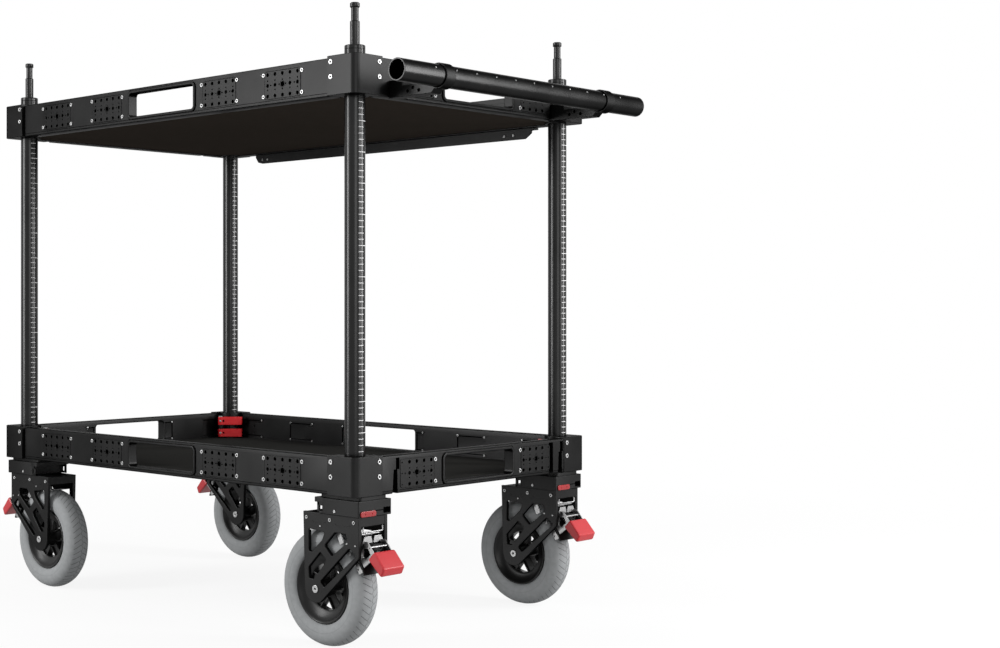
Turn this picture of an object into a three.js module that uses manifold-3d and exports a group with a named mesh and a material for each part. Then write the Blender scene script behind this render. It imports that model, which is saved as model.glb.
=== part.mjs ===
// Camera cart: two shelves held apart by four posts, on four braked swivel casters, with a push handle.
// Millimetres, +Z up. The long side runs along X and the push handle is at +X.
// The origin is on the floor, under the middle of the cart's outline.

import * as THREE from 'three';
import { mergeVertices } from 'three/addons/utils/BufferGeometryUtils.js';
import Module from 'manifold-3d';

const wasm = await Module();
wasm.setup();

// Whole cart
const frameLength = 984;
const frameWidth = 612;
const shelfSpacing = 641; // underside to underside
const clearance = 0.3; // gap between pieces that touch
const overrun = 5; // how far a cut runs past what it cuts

// Corner blocks
const blockSize = 63;
const blockHeight = 64;
const blockEdgeRadius = 12;
const collarRadius = 23;
const blockFloor = 6; // closes the post's bore in the lower blocks
const clampSlit = 3;
const earRadius = 6.6;
const earHeight = 8;

// Posts
const postRadius = 17;
const postInset = 36; // post axis to both outer faces of its block
const postWall = 3;
const postRise = 82; // upper shelf's underside to the post's top
const postCap = 12;
const postEdge = 1.5;
const pinShaftRadius = 7.95;
const pinShaftLength = 39;
const pinNeckRadius = 6.2;
const pinNeckLength = 22;
const pinHeadRadius = 8;
const pinHeadLength = 8;
const pinEdge = 1;

// Rails
const railHeight = 62;
const railThickness = 18;
const railEdgeRadius = 2;
const sideRailInset = 6; // long rails stand back from the blocks' faces
const endRailInset = 1;
const channelDepth = 3; // shallow channel along the inner face
const channelBottom = 13;
const channelTop = 49;
const channelSlope = 2;
const ledgeReach = 8; // carries the deck
const ledgeHeight = 1.8;

// Hand cut-outs of the rails
const gripLength = 182;
const gripHeight = 43;
const gripRadius = 6;
const gripCentre = 31.5; // above the shelf's underside
const lipWidth = 4;
const lipProud = 1.8;

// Plates of threaded holes
const plateLength = 86;
const plateHeight = 46;
const plateProud = 1.6;
const plateCentreHeight = 31;
// Middles of the plates, as shares of the way from the cut-out's end to the rail's end
const sidePlateShares = [0.20136, 0.67368];
const endPlateShares = [0.45485];
const plateHoleRadius = 4.75;
const plateHoleDepth = 9;

// Stepped slots near the ends of the end rails
const slotTopStart = 20.5; // from the rail's end
const slotTopEnd = 26.7;
const slotStepHeight = 39;
const slotMidStart = 15;
const slotMidEnd = 24;
const slotLowStart = 12.3;
const slotLowEnd = 25.3;
const slotDepth = 10;

// Deck panels
const deckThickness = 6;

// Clamp levers
const leverLength = 48; // pin to free end
const leverThickness = 8;
const leverHeight = 18;
const leverPinOffset = 20; // sideways from the corner's diagonal
const leverPinReach = 28.5; // post axis to the pin, along the diagonal
const leverBarrelRadius = 6;
const leverPinRadius = 3;
const leverEndRadius = 3.5; // of the free end
const lowerLeverHeight = 10.6; // above the shelf's underside
const leverTurn = -45; // degrees, from the pin towards the cart's middle

// Push handle
const handleReach = 102; // frame's end to the tube's axis
const handleRise = 24; // upper shelf's underside to the tube's axis
const handleOverhang = 15.5; // each end of the tube past the frame's side
const handleRadius = 17.8;
const handleWall = 2.4;
const clampWall = 3.6;
const clampWidth = 22;
const armInset = 90; // frame's side to the middle of an arm
const armDrop = 2; // below the upper shelf's underside
const armRise = 16; // above the upper shelf's underside
const armFootLength = 29;
const armFootRise = 26;
const armHoleRadius = 2.6;
const armHoleShares = [[0.42, 0.45], [0.54, 0.7], [0.68, 0.4]]; // along and up the bar

// Accessory rail under the rear long rail
const accessoryInset = 103.5; // frame's end to the rail's end
const accessoryOffset = 3; // its middle, along X
const accessoryDrop = 20;
const accessoryWall = 3.5;
const accessoryFlange = 15;
const accessoryFrontInset = 23; // frame's side to its front face
const accessoryEndSlope = 21;
const accessoryStep = 6;

// Casters
const swivelInsetX = 41; // frame's end to the swivel axis
const swivelInsetY = 47; // frame's side to the swivel axis
const wheelRadius = 97;
const trail = 62;
const mountFront = 39.5; // swivel axis to the mount's outward face
const mountRear = 30;
const mountWaist = 22;
const mountHalfWidth = 38.5;
const mountRearHalfWidth = 26;
const mountHeight = 31.7;
const wheelGap = 7.7; // tyre to the fork's crown
const flangeRear = 44;
const flangeHeight = 8;
const mountRadius = 3;
const kingpinRadius = 12;
const kingpinHeight = 18;
const lockSlotStart = -34;
const lockSlotEnd = 21;
const lockSlotHeight = 4;
const lockSlotBottom = 9; // above the mount's underside
const lockSlotDepth = 12;
const knobWidth = 33;
const knobHeight = 10.5;
const knobProud = 5.2;
const knobRadius = 3;
const knobStart = -30.5;
const knobStemWidth = 12;
const notchWidth = 11;
const notchHeight = 10;
const notchInset = 2;

// Forks
const forkFront = 36.5; // swivel axis to the fork's outward face
const forkHalfWidth = 33.6;
const forkPlate = 7;
const forkCrown = 20; // height of the block between the side plates
const forkFrontDrop = 67;
const bossRadius = 22;
const windowRadius = 2.5;
const axleRadius = 6;
const axleHeadRadius = 6.5;
const axleHeadProud = 2.5;
const brakePinRadius = 2.5;
const crossRodRadius = 2;
// Windows of a side plate, as shares of its length from the rear and of its height above the axle
const windowShares = [
  [[0.132, 0.475], [0.372, 0.803], [0.132, 0.803]],
  [[0.488, 0.451], [0.793, 0.713], [0.76, 0.787], [0.554, 0.787], [0.388, 0.574]],
  [[0.099, 0.131], [0.231, 0.131], [0.347, 0.344], [0.372, 0.393], [0.273, 0.467], [0.074, 0.279]],
  [[0.405, 0.008], [0.901, 0.492], [0.793, 0.557], [0.293, 0.074]],
];
const crossRodShare = [0.785, 0.639];
const brakePinShare = [0.934, 0.633];

// Wheels
const tyreWidth = 47;
const rimRadius = 57.5;
const rimWall = 4.5;
const rimHalfWidth = 17;
const rimWaist = 3; // how far the barrel dips between its lips
const hubRadius = 15;
const hubHalfWidth = 24;
const webHalfThickness = 4;
const spokeCount = 5;
const spokeWidth = 13;
const webMargin = 5; // solid ring of the web inside the barrel and round the hub
// Half of the tyre's section outside the rim: shares of its depth and of its half width
const tyreShares = [[0, 0.66], [0.3, 0.97], [0.66, 0.94], [0.92, 0.55]];

// Brakes
const pedalWidth = 45;
const pedalLength = 33;
const pedalThickness = 18;
const pedalRadius = 4;
const pedalTilt = -57.6 * Math.PI / 180;
const pedalCentreReach = 26.6; // fork's face to the middle of the pedal
const pedalCentreHeight = 148;
const shoeGap = 6;
const shoeThickness = 3.5;
const shoeWidth = 38;
const shoeStart = 20 * Math.PI / 180;
const shoeEnd = 36 * Math.PI / 180;
const cheekThickness = 3;
const cheekSpacing = 36;
const cheekReach = 6; // material round the pin
const capShare = 0.6; // how far the cheeks run into the cap

// Numbers of flats on round things
const postSides = 12;
const boreSteps = 8;
const earSteps = 4;
const tubeSides = 18;
const wheelSides = 20;
const smallSides = 8;
const pinSides = 12;
const rodSides = 6;
const filletSteps = 2;
const roundingShare = 0.45; // of a side that a rounded corner may take

const halfTurn = Math.PI;
const quarterTurn = Math.PI / 2;

function finish(color, roughness, metalness) {
  return new THREE.MeshStandardMaterial({ color, roughness, metalness });
}

const frameBlack = () => finish(0x2b2b2b, 0.45, 0.6);
const deckBlack = () => finish(0x201f1d, 0.5, 0.1);
const forkBlack = () => finish(0x262626, 0.5, 0.6);
const plasticBlack = () => finish(0x161616, 0.5, 0);
const tyreGrey = () => finish(0x85888a, 0.8, 0);
const signalRed = () => finish(0xd1393d, 0.45, 0);
const leverRed = () => finish(0xa01c20, 0.4, 0.3);

const cart = new THREE.Group();

// A closed geometry as a solid that can be joined and cut
function solid(geometry) {
  const bare = geometry.clone();
  bare.deleteAttribute('normal');
  bare.deleteAttribute('uv');
  const welded = mergeVertices(bare);
  const corners = welded.index.array;
  const kept = [];
  for (let i = 0; i < corners.length; i += 3) {
    const [a, b, c] = [corners[i], corners[i + 1], corners[i + 2]];
    if (a !== b && b !== c && c !== a) kept.push(a, b, c);
  }
  const vertProperties = Float32Array.from(welded.attributes.position.array);
  const triVerts = Uint32Array.from(kept);
  return new wasm.Manifold(new wasm.Mesh({ numProp: 3, vertProperties, triVerts }));
}

// A solid's surface as a geometry
function surfaceOf(body) {
  const mesh = body.getMesh();
  const geometry = new THREE.BufferGeometry();
  const positions = Float32Array.from(mesh.vertProperties);
  geometry.setAttribute('position', new THREE.BufferAttribute(positions, 3));
  geometry.setIndex(new THREE.BufferAttribute(Uint32Array.from(mesh.triVerts), 1));
  geometry.computeVertexNormals();
  return geometry;
}

// Adds one named piece to its group
function addPiece(group, name, body, material) {
  const piece = new THREE.Mesh(surfaceOf(body), material);
  piece.name = name;
  group.add(piece);
  return piece;
}

// Points on an arc, both ends included
function arc(x, y, radius, from, to, steps) {
  const points = [];
  for (let i = 0; i <= steps; i += 1) {
    const angle = from + (to - from) * i / steps;
    points.push([x + radius * Math.cos(angle), y + radius * Math.sin(angle)]);
  }
  return points;
}

// Points of a whole circle
function circle(x, y, radius, sides) {
  return arc(x, y, radius, 0, 2 * halfTurn, sides).slice(0, sides);
}

// An outline with its corners rounded; a corner may carry its own radius as a third value
function rounded(corners, radius, steps = filletSteps) {
  const points = [];
  corners.forEach(([x, y, own], i) => {
    const before = corners[(i + corners.length - 1) % corners.length];
    const after = corners[(i + 1) % corners.length];
    const toBefore = new THREE.Vector2(before[0] - x, before[1] - y);
    const toAfter = new THREE.Vector2(after[0] - x, after[1] - y);
    const room = Math.min(toBefore.length(), toAfter.length()) * roundingShare;
    toBefore.normalize();
    toAfter.normalize();
    const half = Math.acos(toBefore.dot(toAfter)) / 2;
    const r = Math.min(own ?? radius, room * Math.tan(half));
    if (r === 0) {
      points.push([x, y]);
      return;
    }
    const middle = toBefore.clone().add(toAfter).normalize().multiplyScalar(r / Math.sin(half));
    const touch = r / Math.tan(half);
    const start = Math.atan2(toBefore.y * touch - middle.y, toBefore.x * touch - middle.x);
    const end = Math.atan2(toAfter.y * touch - middle.y, toAfter.x * touch - middle.x);
    let sweep = end - start;
    if (sweep > halfTurn) sweep -= 2 * halfTurn;
    if (sweep < -halfTurn) sweep += 2 * halfTurn;
    points.push(...arc(x + middle.x, y + middle.y, r, start, start + sweep, steps));
  });
  return points;
}

function rectangle(x0, y0, x1, y1) {
  return [[x0, y0], [x1, y0], [x1, y1], [x0, y1]];
}

function shapeOf(points, holes = []) {
  const shape = new THREE.Shape(points.map(([x, y]) => new THREE.Vector2(x, y)));
  shape.holes = holes.map((hole) => new THREE.Path(hole.map(([x, y]) => new THREE.Vector2(x, y))));
  return shape;
}

function extruded(points, depth, holes) {
  return new THREE.ExtrudeGeometry(shapeOf(points, holes), { depth, bevelEnabled: false });
}

// An outline in X and Y, raised from one height to another
function risen(points, bottom, top, holes) {
  return extruded(points, top - bottom, holes).translate(0, 0, bottom);
}

// An outline in X and Z, drawn out along Y
function drawnY(points, from, to, holes) {
  return extruded(points, to - from, holes).rotateX(quarterTurn).translate(0, to, 0);
}

// An outline in Y and Z, drawn out along X
function drawnX(points, from, to) {
  const geometry = extruded(points, to - from);
  const turn = new THREE.Matrix4().makeBasis(
    new THREE.Vector3(0, 1, 0),
    new THREE.Vector3(0, 0, 1),
    new THREE.Vector3(1, 0, 0),
  );
  return geometry.applyMatrix4(turn).translate(from, 0, 0);
}

// A profile of radius and place, turned about the Y axis
function turned(profile, sides, start = 0) {
  const points = profile.map(([r, y]) => new THREE.Vector2(r, y));
  if (THREE.ShapeUtils.area(points) < 0) points.reverse();
  const open = points[0].x === 0 && points[points.length - 1].x === 0;
  if (!open) points.push(points[0].clone());
  return new THREE.LatheGeometry(points, sides, start);
}

function rodY(x, z, radius, from, to, sides) {
  return turned([[0, from], [radius, from], [radius, to], [0, to]], sides).translate(x, 0, z);
}

function rodZ(x, y, radius, from, to, sides) {
  const rod = turned([[0, from], [radius, from], [radius, to], [0, to]], sides);
  return rod.rotateX(quarterTurn).translate(x, y, 0);
}

function box(x0, y0, z0, x1, y1, z1) {
  const geometry = new THREE.BoxGeometry(x1 - x0, y1 - y0, z1 - z0);
  return geometry.translate((x0 + x1) / 2, (y0 + y1) / 2, (z0 + z1) / 2);
}

// The radius of a hole with flats that a round part of this radius turns in
function runningRadius(radius, sides) {
  return (radius + clearance) / Math.cos(halfTurn / sides);
}

// A corner piece drawn with X and Y running inwards, set at one corner of the frame
function atCorner(body, signX, signY) {
  const geometry = surfaceOf(body).scale(-signX, -signY, 1);
  if (signX * signY < 0) {
    const order = geometry.index.array;
    for (let i = 0; i < order.length; i += 3) {
      [order[i], order[i + 1]] = [order[i + 1], order[i]];
    }
  }
  return solid(geometry.translate(signX * frameLength / 2, signY * frameWidth / 2, 0));
}

const cornerPlaces = {
  push_front: [1, -1],
  push_rear: [1, 1],
  far_front: [-1, -1],
  far_rear: [-1, 1],
};

// Floor to the underside of each shelf
const lowerShelfHeight = 2 * wheelRadius + wheelGap + forkCrown + mountHeight + 2 * clearance;
const shelves = { lower: lowerShelfHeight, upper: lowerShelfHeight + shelfSpacing };

// Where the clamp levers' pin stands, from the outer corner
function leverPinPlace() {
  const diagonal = Math.SQRT1_2;
  return [
    postInset + (leverPinReach - leverPinOffset) * diagonal,
    postInset + (leverPinReach + leverPinOffset) * diagonal,
  ];
}

// Corner block: two arms that end the rails, a split collar round the post, an ear for the levers
function cornerBlock(blind) {
  const sideArm = sideRailInset + railThickness;
  const endArm = endRailInset + railThickness;
  const sideAngle = Math.asin((sideArm - postInset) / collarRadius);
  const endAngle = halfTurn - Math.acos((postInset - endArm) / collarRadius);
  const outline = [
    ...rounded([[0, blockSize, 0], [0, 0], [blockSize, 0, 0]], blockEdgeRadius, 2 * filletSteps),
    [blockSize, sideArm],
    ...arc(postInset, postInset, collarRadius, sideAngle, endAngle, boreSteps),
    [endArm, blockSize],
  ];
  const [pinX, pinY] = leverPinPlace();
  const towards = Math.atan2(pinY - postInset, pinX - postInset);
  const earReach = Math.hypot(pinX - postInset, pinY - postInset);
  const earOutline = [
    ...arc(earReach, 0, earRadius, -quarterTurn, quarterTurn, earSteps),
    [postRadius + postWall, earRadius],
    [postRadius + postWall, -earRadius],
  ];
  const earBottom = lowerLeverHeight + leverHeight + clearance;
  const ear = risen(earOutline, earBottom, earBottom + earHeight).rotateZ(towards);
  const floor = blind ? blockFloor : -overrun;
  const top = blockHeight + overrun;
  const slit = box(0, -clampSlit / 2, floor, collarRadius + overrun, clampSlit / 2, top);
  const bore = rodZ(postInset, postInset, postRadius + clearance, floor, top, postSides);
  const pinHole = rodZ(pinX, pinY, runningRadius(leverPinRadius, rodSides), 0, top, rodSides);
  return solid(risen(outline, 0, blockHeight))
    .add(solid(ear.translate(postInset, postInset, 0)))
    .subtract(solid(bore))
    .subtract(solid(pinHole))
    .subtract(solid(slit.rotateZ(quarterTurn / 2).translate(postInset, postInset, 0)));
}

// Two levers on one pin, which close the split collar
function clampLevers() {
  const [pinX, pinY] = leverPinPlace();
  const depth = leverThickness / 2;
  const bar = [
    ...arc(0, 0, leverBarrelRadius, quarterTurn, 3 * quarterTurn, earSteps),
    [leverBarrelRadius, -depth],
    ...rounded([[0, -depth, 0], [leverLength, -depth], [leverLength, depth], [0, depth, 0]], leverEndRadius)
      .slice(1, -1),
    [leverBarrelRadius, depth],
  ];
  const upperLeverHeight = lowerLeverHeight + leverHeight + earHeight + 2 * clearance;
  const pin = rodZ(0, 0, leverPinRadius, lowerLeverHeight, upperLeverHeight + leverHeight, rodSides);
  return [lowerLeverHeight, upperLeverHeight]
    .map((height) => solid(risen(bar, height, height + leverHeight)))
    .reduce((whole, piece) => whole.add(piece), solid(pin))
    .rotate([0, 0, leverTurn])
    .translate([pinX, pinY, 0]);
}

// Post: open tube with a cap and a stepped pin on top
function post() {
  const bottom = shelves.lower + blockFloor + clearance;
  const postTop = shelves.upper + postRise;
  const pinShaftTop = postTop + pinShaftLength;
  const pinNeckTop = pinShaftTop + pinNeckLength;
  const pinTop = pinNeckTop + pinHeadLength;
  const inner = postRadius - postWall;
  return solid(turned([
    [0, postTop - postCap],
    [inner, postTop - postCap],
    [inner, bottom],
    [postRadius, bottom],
    [postRadius, postTop - postEdge],
    [postRadius - postEdge, postTop],
    [pinShaftRadius, postTop],
    [pinShaftRadius, pinShaftTop],
    [pinNeckRadius, pinShaftTop + pinEdge],
    [pinNeckRadius, pinNeckTop],
    [pinHeadRadius, pinNeckTop + pinEdge],
    [pinHeadRadius, pinTop - pinEdge],
    [pinHeadRadius - pinEdge, pinTop],
    [0, pinTop],
  ], postSides).rotateX(quarterTurn));
}

// Rail along X with its outer face at Y = 0, looking along -Y
function rail(length, plateShares, slotted) {
  const inner = railThickness;
  const channel = inner - channelDepth;
  const back = [[0, 0, 0], [0, railHeight], [inner, railHeight], [inner, channelTop, 0]];
  const section = [
    ...rounded(back, railEdgeRadius, 1),
    [channel, channelTop - channelSlope],
    [channel, channelBottom + channelSlope],
    [inner, channelBottom],
    [inner, ledgeHeight],
    [inner + ledgeReach, ledgeHeight],
    [inner + ledgeReach, 0],
  ];
  let body = solid(drawnX(section, -length / 2, length / 2));
  const opening = (margin) => {
    const halfLength = gripLength / 2 + margin;
    const halfHeight = gripHeight / 2 + margin;
    const corners = rectangle(-halfLength, gripCentre - halfHeight, halfLength, gripCentre + halfHeight);
    return rounded(corners, gripRadius + margin);
  };
  body = body.add(solid(drawnY(opening(lipWidth), -lipProud, inner / 2)));
  body = body.subtract(solid(drawnY(opening(0), -overrun, inner + overrun)));
  const plateBottom = plateCentreHeight - plateHeight / 2;
  const plateOutline = rectangle(-plateLength / 2, plateBottom, plateLength / 2, plateBottom + plateHeight);
  const plateRoom = (length - gripLength) / 2;
  const platePlaces = plateShares.map((share) => gripLength / 2 + share * plateRoom);
  platePlaces.flatMap((place) => [-place, place]).forEach((place) => {
    const plate = solid(drawnY(plateOutline, -plateProud, inner / 2).translate(place, 0, 0));
    const hole = rodY(place, plateCentreHeight, plateHoleRadius, -overrun, plateHoleDepth, smallSides);
    body = body.add(plate).subtract(solid(hole));
  });
  if (slotted) {
    [-1, 1].forEach((side) => {
      const slot = [
        [slotLowStart, -overrun],
        [slotLowEnd, -overrun],
        [slotMidEnd, slotStepHeight],
        [slotTopEnd, slotStepHeight],
        [slotTopEnd, railHeight + overrun],
        [slotTopStart, railHeight + overrun],
        [slotTopStart, slotStepHeight],
        [slotMidStart, slotStepHeight],
      ].map(([x, z]) => [side * (length / 2 - x), z]);
      body = body.subtract(solid(drawnY(side > 0 ? slot.reverse() : slot, -overrun, slotDepth)));
    });
  }
  return body;
}

function deck() {
  const halfX = frameLength / 2 - endRailInset - railThickness - clearance;
  const halfY = frameWidth / 2 - sideRailInset - railThickness - clearance;
  const bottom = ledgeHeight + clearance;
  let body = solid(box(-halfX, -halfY, bottom, halfX, halfY, bottom + deckThickness));
  Object.values(cornerPlaces).forEach(([signX, signY]) => {
    const x = signX * (frameLength / 2 - postInset);
    const y = signY * (frameWidth / 2 - postInset);
    const radius = runningRadius(collarRadius, pinSides);
    const top = bottom + deckThickness + overrun;
    body = body.subtract(solid(rodZ(x, y, radius, bottom - overrun, top, pinSides)));
  });
  return body;
}

function sideRail() {
  return rail(frameLength - 2 * (blockSize + clearance), sidePlateShares, false);
}

function endRail() {
  return rail(frameWidth - 2 * (blockSize + clearance), endPlateShares, true);
}

// Builder of each rail, the distance of its outer face from the cart's middle, and its turn
const railKinds = {
  front: [sideRail, frameWidth / 2 - sideRailInset, 0],
  rear: [sideRail, frameWidth / 2 - sideRailInset, halfTurn],
  push_end: [endRail, frameLength / 2 - endRailInset, quarterTurn],
  far_end: [endRail, frameLength / 2 - endRailInset, -quarterTurn],
};

Object.entries(shelves).forEach(([level, height]) => {
  const shelf = new THREE.Group();
  shelf.position.z = height;
  cart.add(shelf);
  Object.entries(railKinds).forEach(([side, [build, distance, turn]]) => {
    const piece = addPiece(shelf, `${level}_${side}_rail`, build(), frameBlack());
    piece.position.set(distance * Math.sin(turn), -distance * Math.cos(turn), 0);
    piece.rotation.z = turn;
  });
  Object.entries(cornerPlaces).forEach(([corner, [signX, signY]]) => {
    const block = atCorner(cornerBlock(level === 'lower'), signX, signY);
    addPiece(shelf, `${level}_${corner}_corner`, block, frameBlack());
    const levers = atCorner(clampLevers(), signX, signY);
    addPiece(shelf, `${level}_${corner}_clamp_levers`, levers, leverRed());
  });
  addPiece(shelf, `${level}_deck`, deck(), deckBlack());
});

Object.entries(cornerPlaces).forEach(([corner, [signX, signY]]) => {
  const piece = addPiece(cart, `${corner}_post`, post(), frameBlack());
  const x = frameLength / 2 - postInset;
  const y = frameWidth / 2 - postInset;
  piece.position.set(signX * x, signY * y, 0);
});

// Push handle: a cross tube held by two arms and their caps
const handleX = frameLength / 2 + handleReach;
const handleHeight = shelves.upper + handleRise;
const handleHalf = frameWidth / 2 + handleOverhang;
const armBottom = shelves.upper - armDrop;
const armTop = shelves.upper + armRise;
const armFootTop = shelves.upper + armFootRise;
const clampBore = handleRadius + clearance;
const clampRadius = clampBore + clampWall;
const handleTube = turned([
  [handleRadius - handleWall, -handleHalf],
  [handleRadius, -handleHalf],
  [handleRadius, handleHalf],
  [handleRadius - handleWall, handleHalf],
], tubeSides).translate(handleX, 0, handleHeight);
addPiece(cart, 'handle_tube', solid(handleTube), frameBlack());

// One half of the ring round the handle tube; the arm's half carries the bar to the frame
function handleClamp(isCap) {
  const half = clampWidth / 2;
  const past = half + overrun;
  let body = solid(rodY(handleX, handleHeight, clampRadius, -half, half, tubeSides));
  const footX = frameLength / 2 - endRailInset + clearance;
  if (!isCap) {
    const barEnd = handleX - clampBore / 2;
    const bar = [
      [footX, armBottom], [barEnd, armBottom], [barEnd, armTop],
      [footX + armFootLength, armTop], [footX + armFootLength, armFootTop], [footX, armFootTop],
    ];
    body = body.add(solid(drawnY(bar, -half, half)));
    armHoleShares.forEach(([along, up]) => {
      const x = footX + along * (barEnd - footX);
      const z = armBottom + up * (armTop - armBottom);
      body = body.subtract(solid(rodY(x, z, armHoleRadius, -past, past, smallSides)));
    });
  }
  body = body.subtract(solid(rodY(handleX, handleHeight, clampBore, -past, past, tubeSides)));
  const reach = clampRadius + overrun;
  const [from, to] = isCap ? [-reach, clearance / 2] : [-clearance / 2, reach];
  const cut = box(
    handleX + from, -past, handleHeight - reach,
    handleX + to, past, handleHeight + reach,
  );
  return body.subtract(solid(cut));
}

Object.entries({ front: -1, rear: 1 }).forEach(([side, sign]) => {
  const arm = addPiece(cart, `handle_${side}_arm`, handleClamp(false), frameBlack());
  arm.position.y = sign * (frameWidth / 2 - armInset);
  const cap = addPiece(cart, `handle_${side}_clamp_cap`, handleClamp(true), frameBlack());
  cap.position.y = sign * (frameWidth / 2 - armInset);
});

// Accessory rail: an angle with sloped and stepped ends
function accessoryRail() {
  const top = shelves.upper - clearance;
  const half = frameLength / 2 - accessoryInset;
  const outline = [
    [-half, top - accessoryStep],
    [-half + accessoryEndSlope, top - accessoryDrop],
    [half - accessoryEndSlope, top - accessoryDrop],
    [half - accessoryStep, top - accessoryStep - accessoryWall],
    [half - accessoryStep, top - accessoryStep],
    [half, top - accessoryWall],
    [half, top],
    [-half, top],
  ];
  const front = frameWidth / 2 - accessoryFrontInset;
  const hollow = box(
    -half - overrun, front + accessoryWall, top - accessoryDrop - overrun,
    half + overrun, front + accessoryFlange + overrun, top - accessoryWall,
  );
  return solid(drawnY(outline, front, front + accessoryFlange)).subtract(solid(hollow));
}

addPiece(cart, 'accessory_rail', accessoryRail(), frameBlack()).position.x = accessoryOffset;

// Casters, drawn with the swivel axis at X = Y = 0 and the pedal looking along +X
const mountTop = lowerShelfHeight - clearance;
const mountBottom = mountTop - mountHeight;
const forkTop = mountBottom - clearance;
const forkLength = forkFront + trail + bossRadius;
const forkRear = forkFront - forkLength;

// A place on the fork's side plate, from its shares along and up
function forkPoint([along, up]) {
  return [forkRear + along * forkLength, wheelRadius + up * (forkTop - wheelRadius)];
}

const [brakePinX, brakePinZ] = forkPoint(brakePinShare);

function casterMount() {
  const body = rounded([
    [-mountRear, -mountRearHalfWidth], [-mountWaist, -mountHalfWidth], [mountFront, -mountHalfWidth],
    [mountFront, mountHalfWidth], [-mountWaist, mountHalfWidth], [-mountRear, mountRearHalfWidth],
  ], mountRadius, 1);
  const flangeCorners = rectangle(-flangeRear, -mountHalfWidth, mountFront, mountHalfWidth);
  const flange = rounded(flangeCorners, mountRadius, 1);
  const slotBottom = mountBottom + lockSlotBottom;
  const slot = box(
    mountFront - lockSlotDepth, lockSlotStart, slotBottom,
    mountFront + overrun, lockSlotEnd, slotBottom + lockSlotHeight,
  );
  const notch = box(
    mountFront - lockSlotDepth, mountHalfWidth - notchInset - notchWidth, mountBottom + notchInset,
    mountFront + overrun, mountHalfWidth - notchInset, mountBottom + notchInset + notchHeight,
  );
  const bore = rodZ(
    0, 0, runningRadius(kingpinRadius, smallSides), mountBottom - overrun,
    forkTop + kingpinHeight + clearance, smallSides,
  );
  return solid(risen(body, mountBottom, mountTop))
    .add(solid(risen(flange, mountTop - flangeHeight, mountTop)))
    .subtract(solid(slot))
    .subtract(solid(notch))
    .subtract(solid(bore));
}

function swivelLock() {
  const stemBottom = mountBottom + lockSlotBottom + clearance;
  const stemTop = mountBottom + lockSlotBottom + lockSlotHeight - clearance;
  const knobCorners = rectangle(knobStart, stemTop - knobHeight, knobStart + knobWidth, stemTop);
  const knob = rounded(knobCorners, knobRadius);
  const middle = knobStart + knobWidth / 2;
  const stem = box(
    mountFront - lockSlotDepth + clearance, middle - knobStemWidth / 2, stemBottom,
    mountFront + knobProud / 2, middle + knobStemWidth / 2, stemTop,
  );
  const back = mountFront + clearance;
  return solid(drawnX(knob, back, back + knobProud)).add(solid(stem));
}

// Fork: a crown block between two open side plates, with the axle and the brake's cross pins
function fork() {
  const frontBottom = forkTop - forkFrontDrop;
  const across = Math.atan2(frontBottom - wheelRadius, forkFront + trail);
  const distance = Math.hypot(frontBottom - wheelRadius, forkFront + trail);
  const tangent = across - Math.acos(bossRadius / distance);
  const outline = [
    [forkRear, forkTop],
    ...arc(-trail, wheelRadius, bossRadius, -halfTurn, tangent, 3 * filletSteps),
    [forkFront, frontBottom],
    [forkFront, forkTop],
  ];
  const windows = windowShares.map((corners) => rounded(corners.map(forkPoint), windowRadius, 1));
  const inside = forkHalfWidth - forkPlate;
  const crown = box(forkRear, -forkHalfWidth, forkTop - forkCrown, forkFront, forkHalfWidth, forkTop);
  const kingpin = rodZ(0, 0, kingpinRadius, forkTop - forkCrown / 2, forkTop + kingpinHeight, smallSides);
  const [rodX, rodHeight] = forkPoint(crossRodShare);
  const plateMiddle = forkHalfWidth - forkPlate / 2;
  const head = forkHalfWidth + axleHeadProud;
  return solid(drawnY(outline, -forkHalfWidth, -inside, windows))
    .add(solid(drawnY(outline, inside, forkHalfWidth, windows)))
    .add(solid(crown))
    .add(solid(kingpin))
    .add(solid(rodY(-trail, wheelRadius, axleRadius, -plateMiddle, plateMiddle, smallSides)))
    .add(solid(rodY(-trail, wheelRadius, axleHeadRadius, -head, -plateMiddle, smallSides)))
    .add(solid(rodY(-trail, wheelRadius, axleHeadRadius, plateMiddle, head, smallSides)))
    .add(solid(rodY(rodX, rodHeight, crossRodRadius, -plateMiddle, plateMiddle, rodSides)))
    .add(solid(rodY(brakePinX, brakePinZ, brakePinRadius, -plateMiddle, plateMiddle, rodSides)));
}

// Rim: a barrel with rolled lips, a web with windows between the spokes, and a long hub
function rim() {
  const flat = halfTurn / wheelSides;
  const outer = rimRadius / Math.cos(flat);
  const inner = outer - rimWall;
  const bore = runningRadius(axleRadius, smallSides);
  const barrel = turned([
    [outer, -rimHalfWidth], [outer, rimHalfWidth],
    [inner, rimHalfWidth], [inner - rimWaist, 0], [inner, -rimHalfWidth],
  ], wheelSides, flat);
  const windowOuter = inner - rimWaist - webMargin;
  const windowInner = hubRadius + webMargin;
  const share = 2 * halfTurn / spokeCount;
  const windows = Array.from({ length: spokeCount }, (_, i) => {
    const middle = i * share;
    const outerHalf = share / 2 - Math.asin(spokeWidth / 2 / windowOuter);
    const innerHalf = share / 2 - Math.asin(spokeWidth / 2 / windowInner);
    return [
      ...arc(0, 0, windowOuter, middle - outerHalf, middle + outerHalf, filletSteps),
      ...arc(0, 0, windowInner, middle + innerHalf, middle - innerHalf, 1),
    ];
  });
  const webEdge = (inner - rimWaist / 2) * Math.cos(flat);
  const web = drawnY(circle(0, 0, webEdge, wheelSides), -webHalfThickness, webHalfThickness, windows);
  const past = hubHalfWidth + overrun;
  return solid(barrel)
    .add(solid(web))
    .add(solid(rodY(0, 0, hubRadius, -hubHalfWidth, hubHalfWidth, pinSides)))
    .subtract(solid(rodY(0, 0, bore, -past, past, smallSides)));
}

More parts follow.
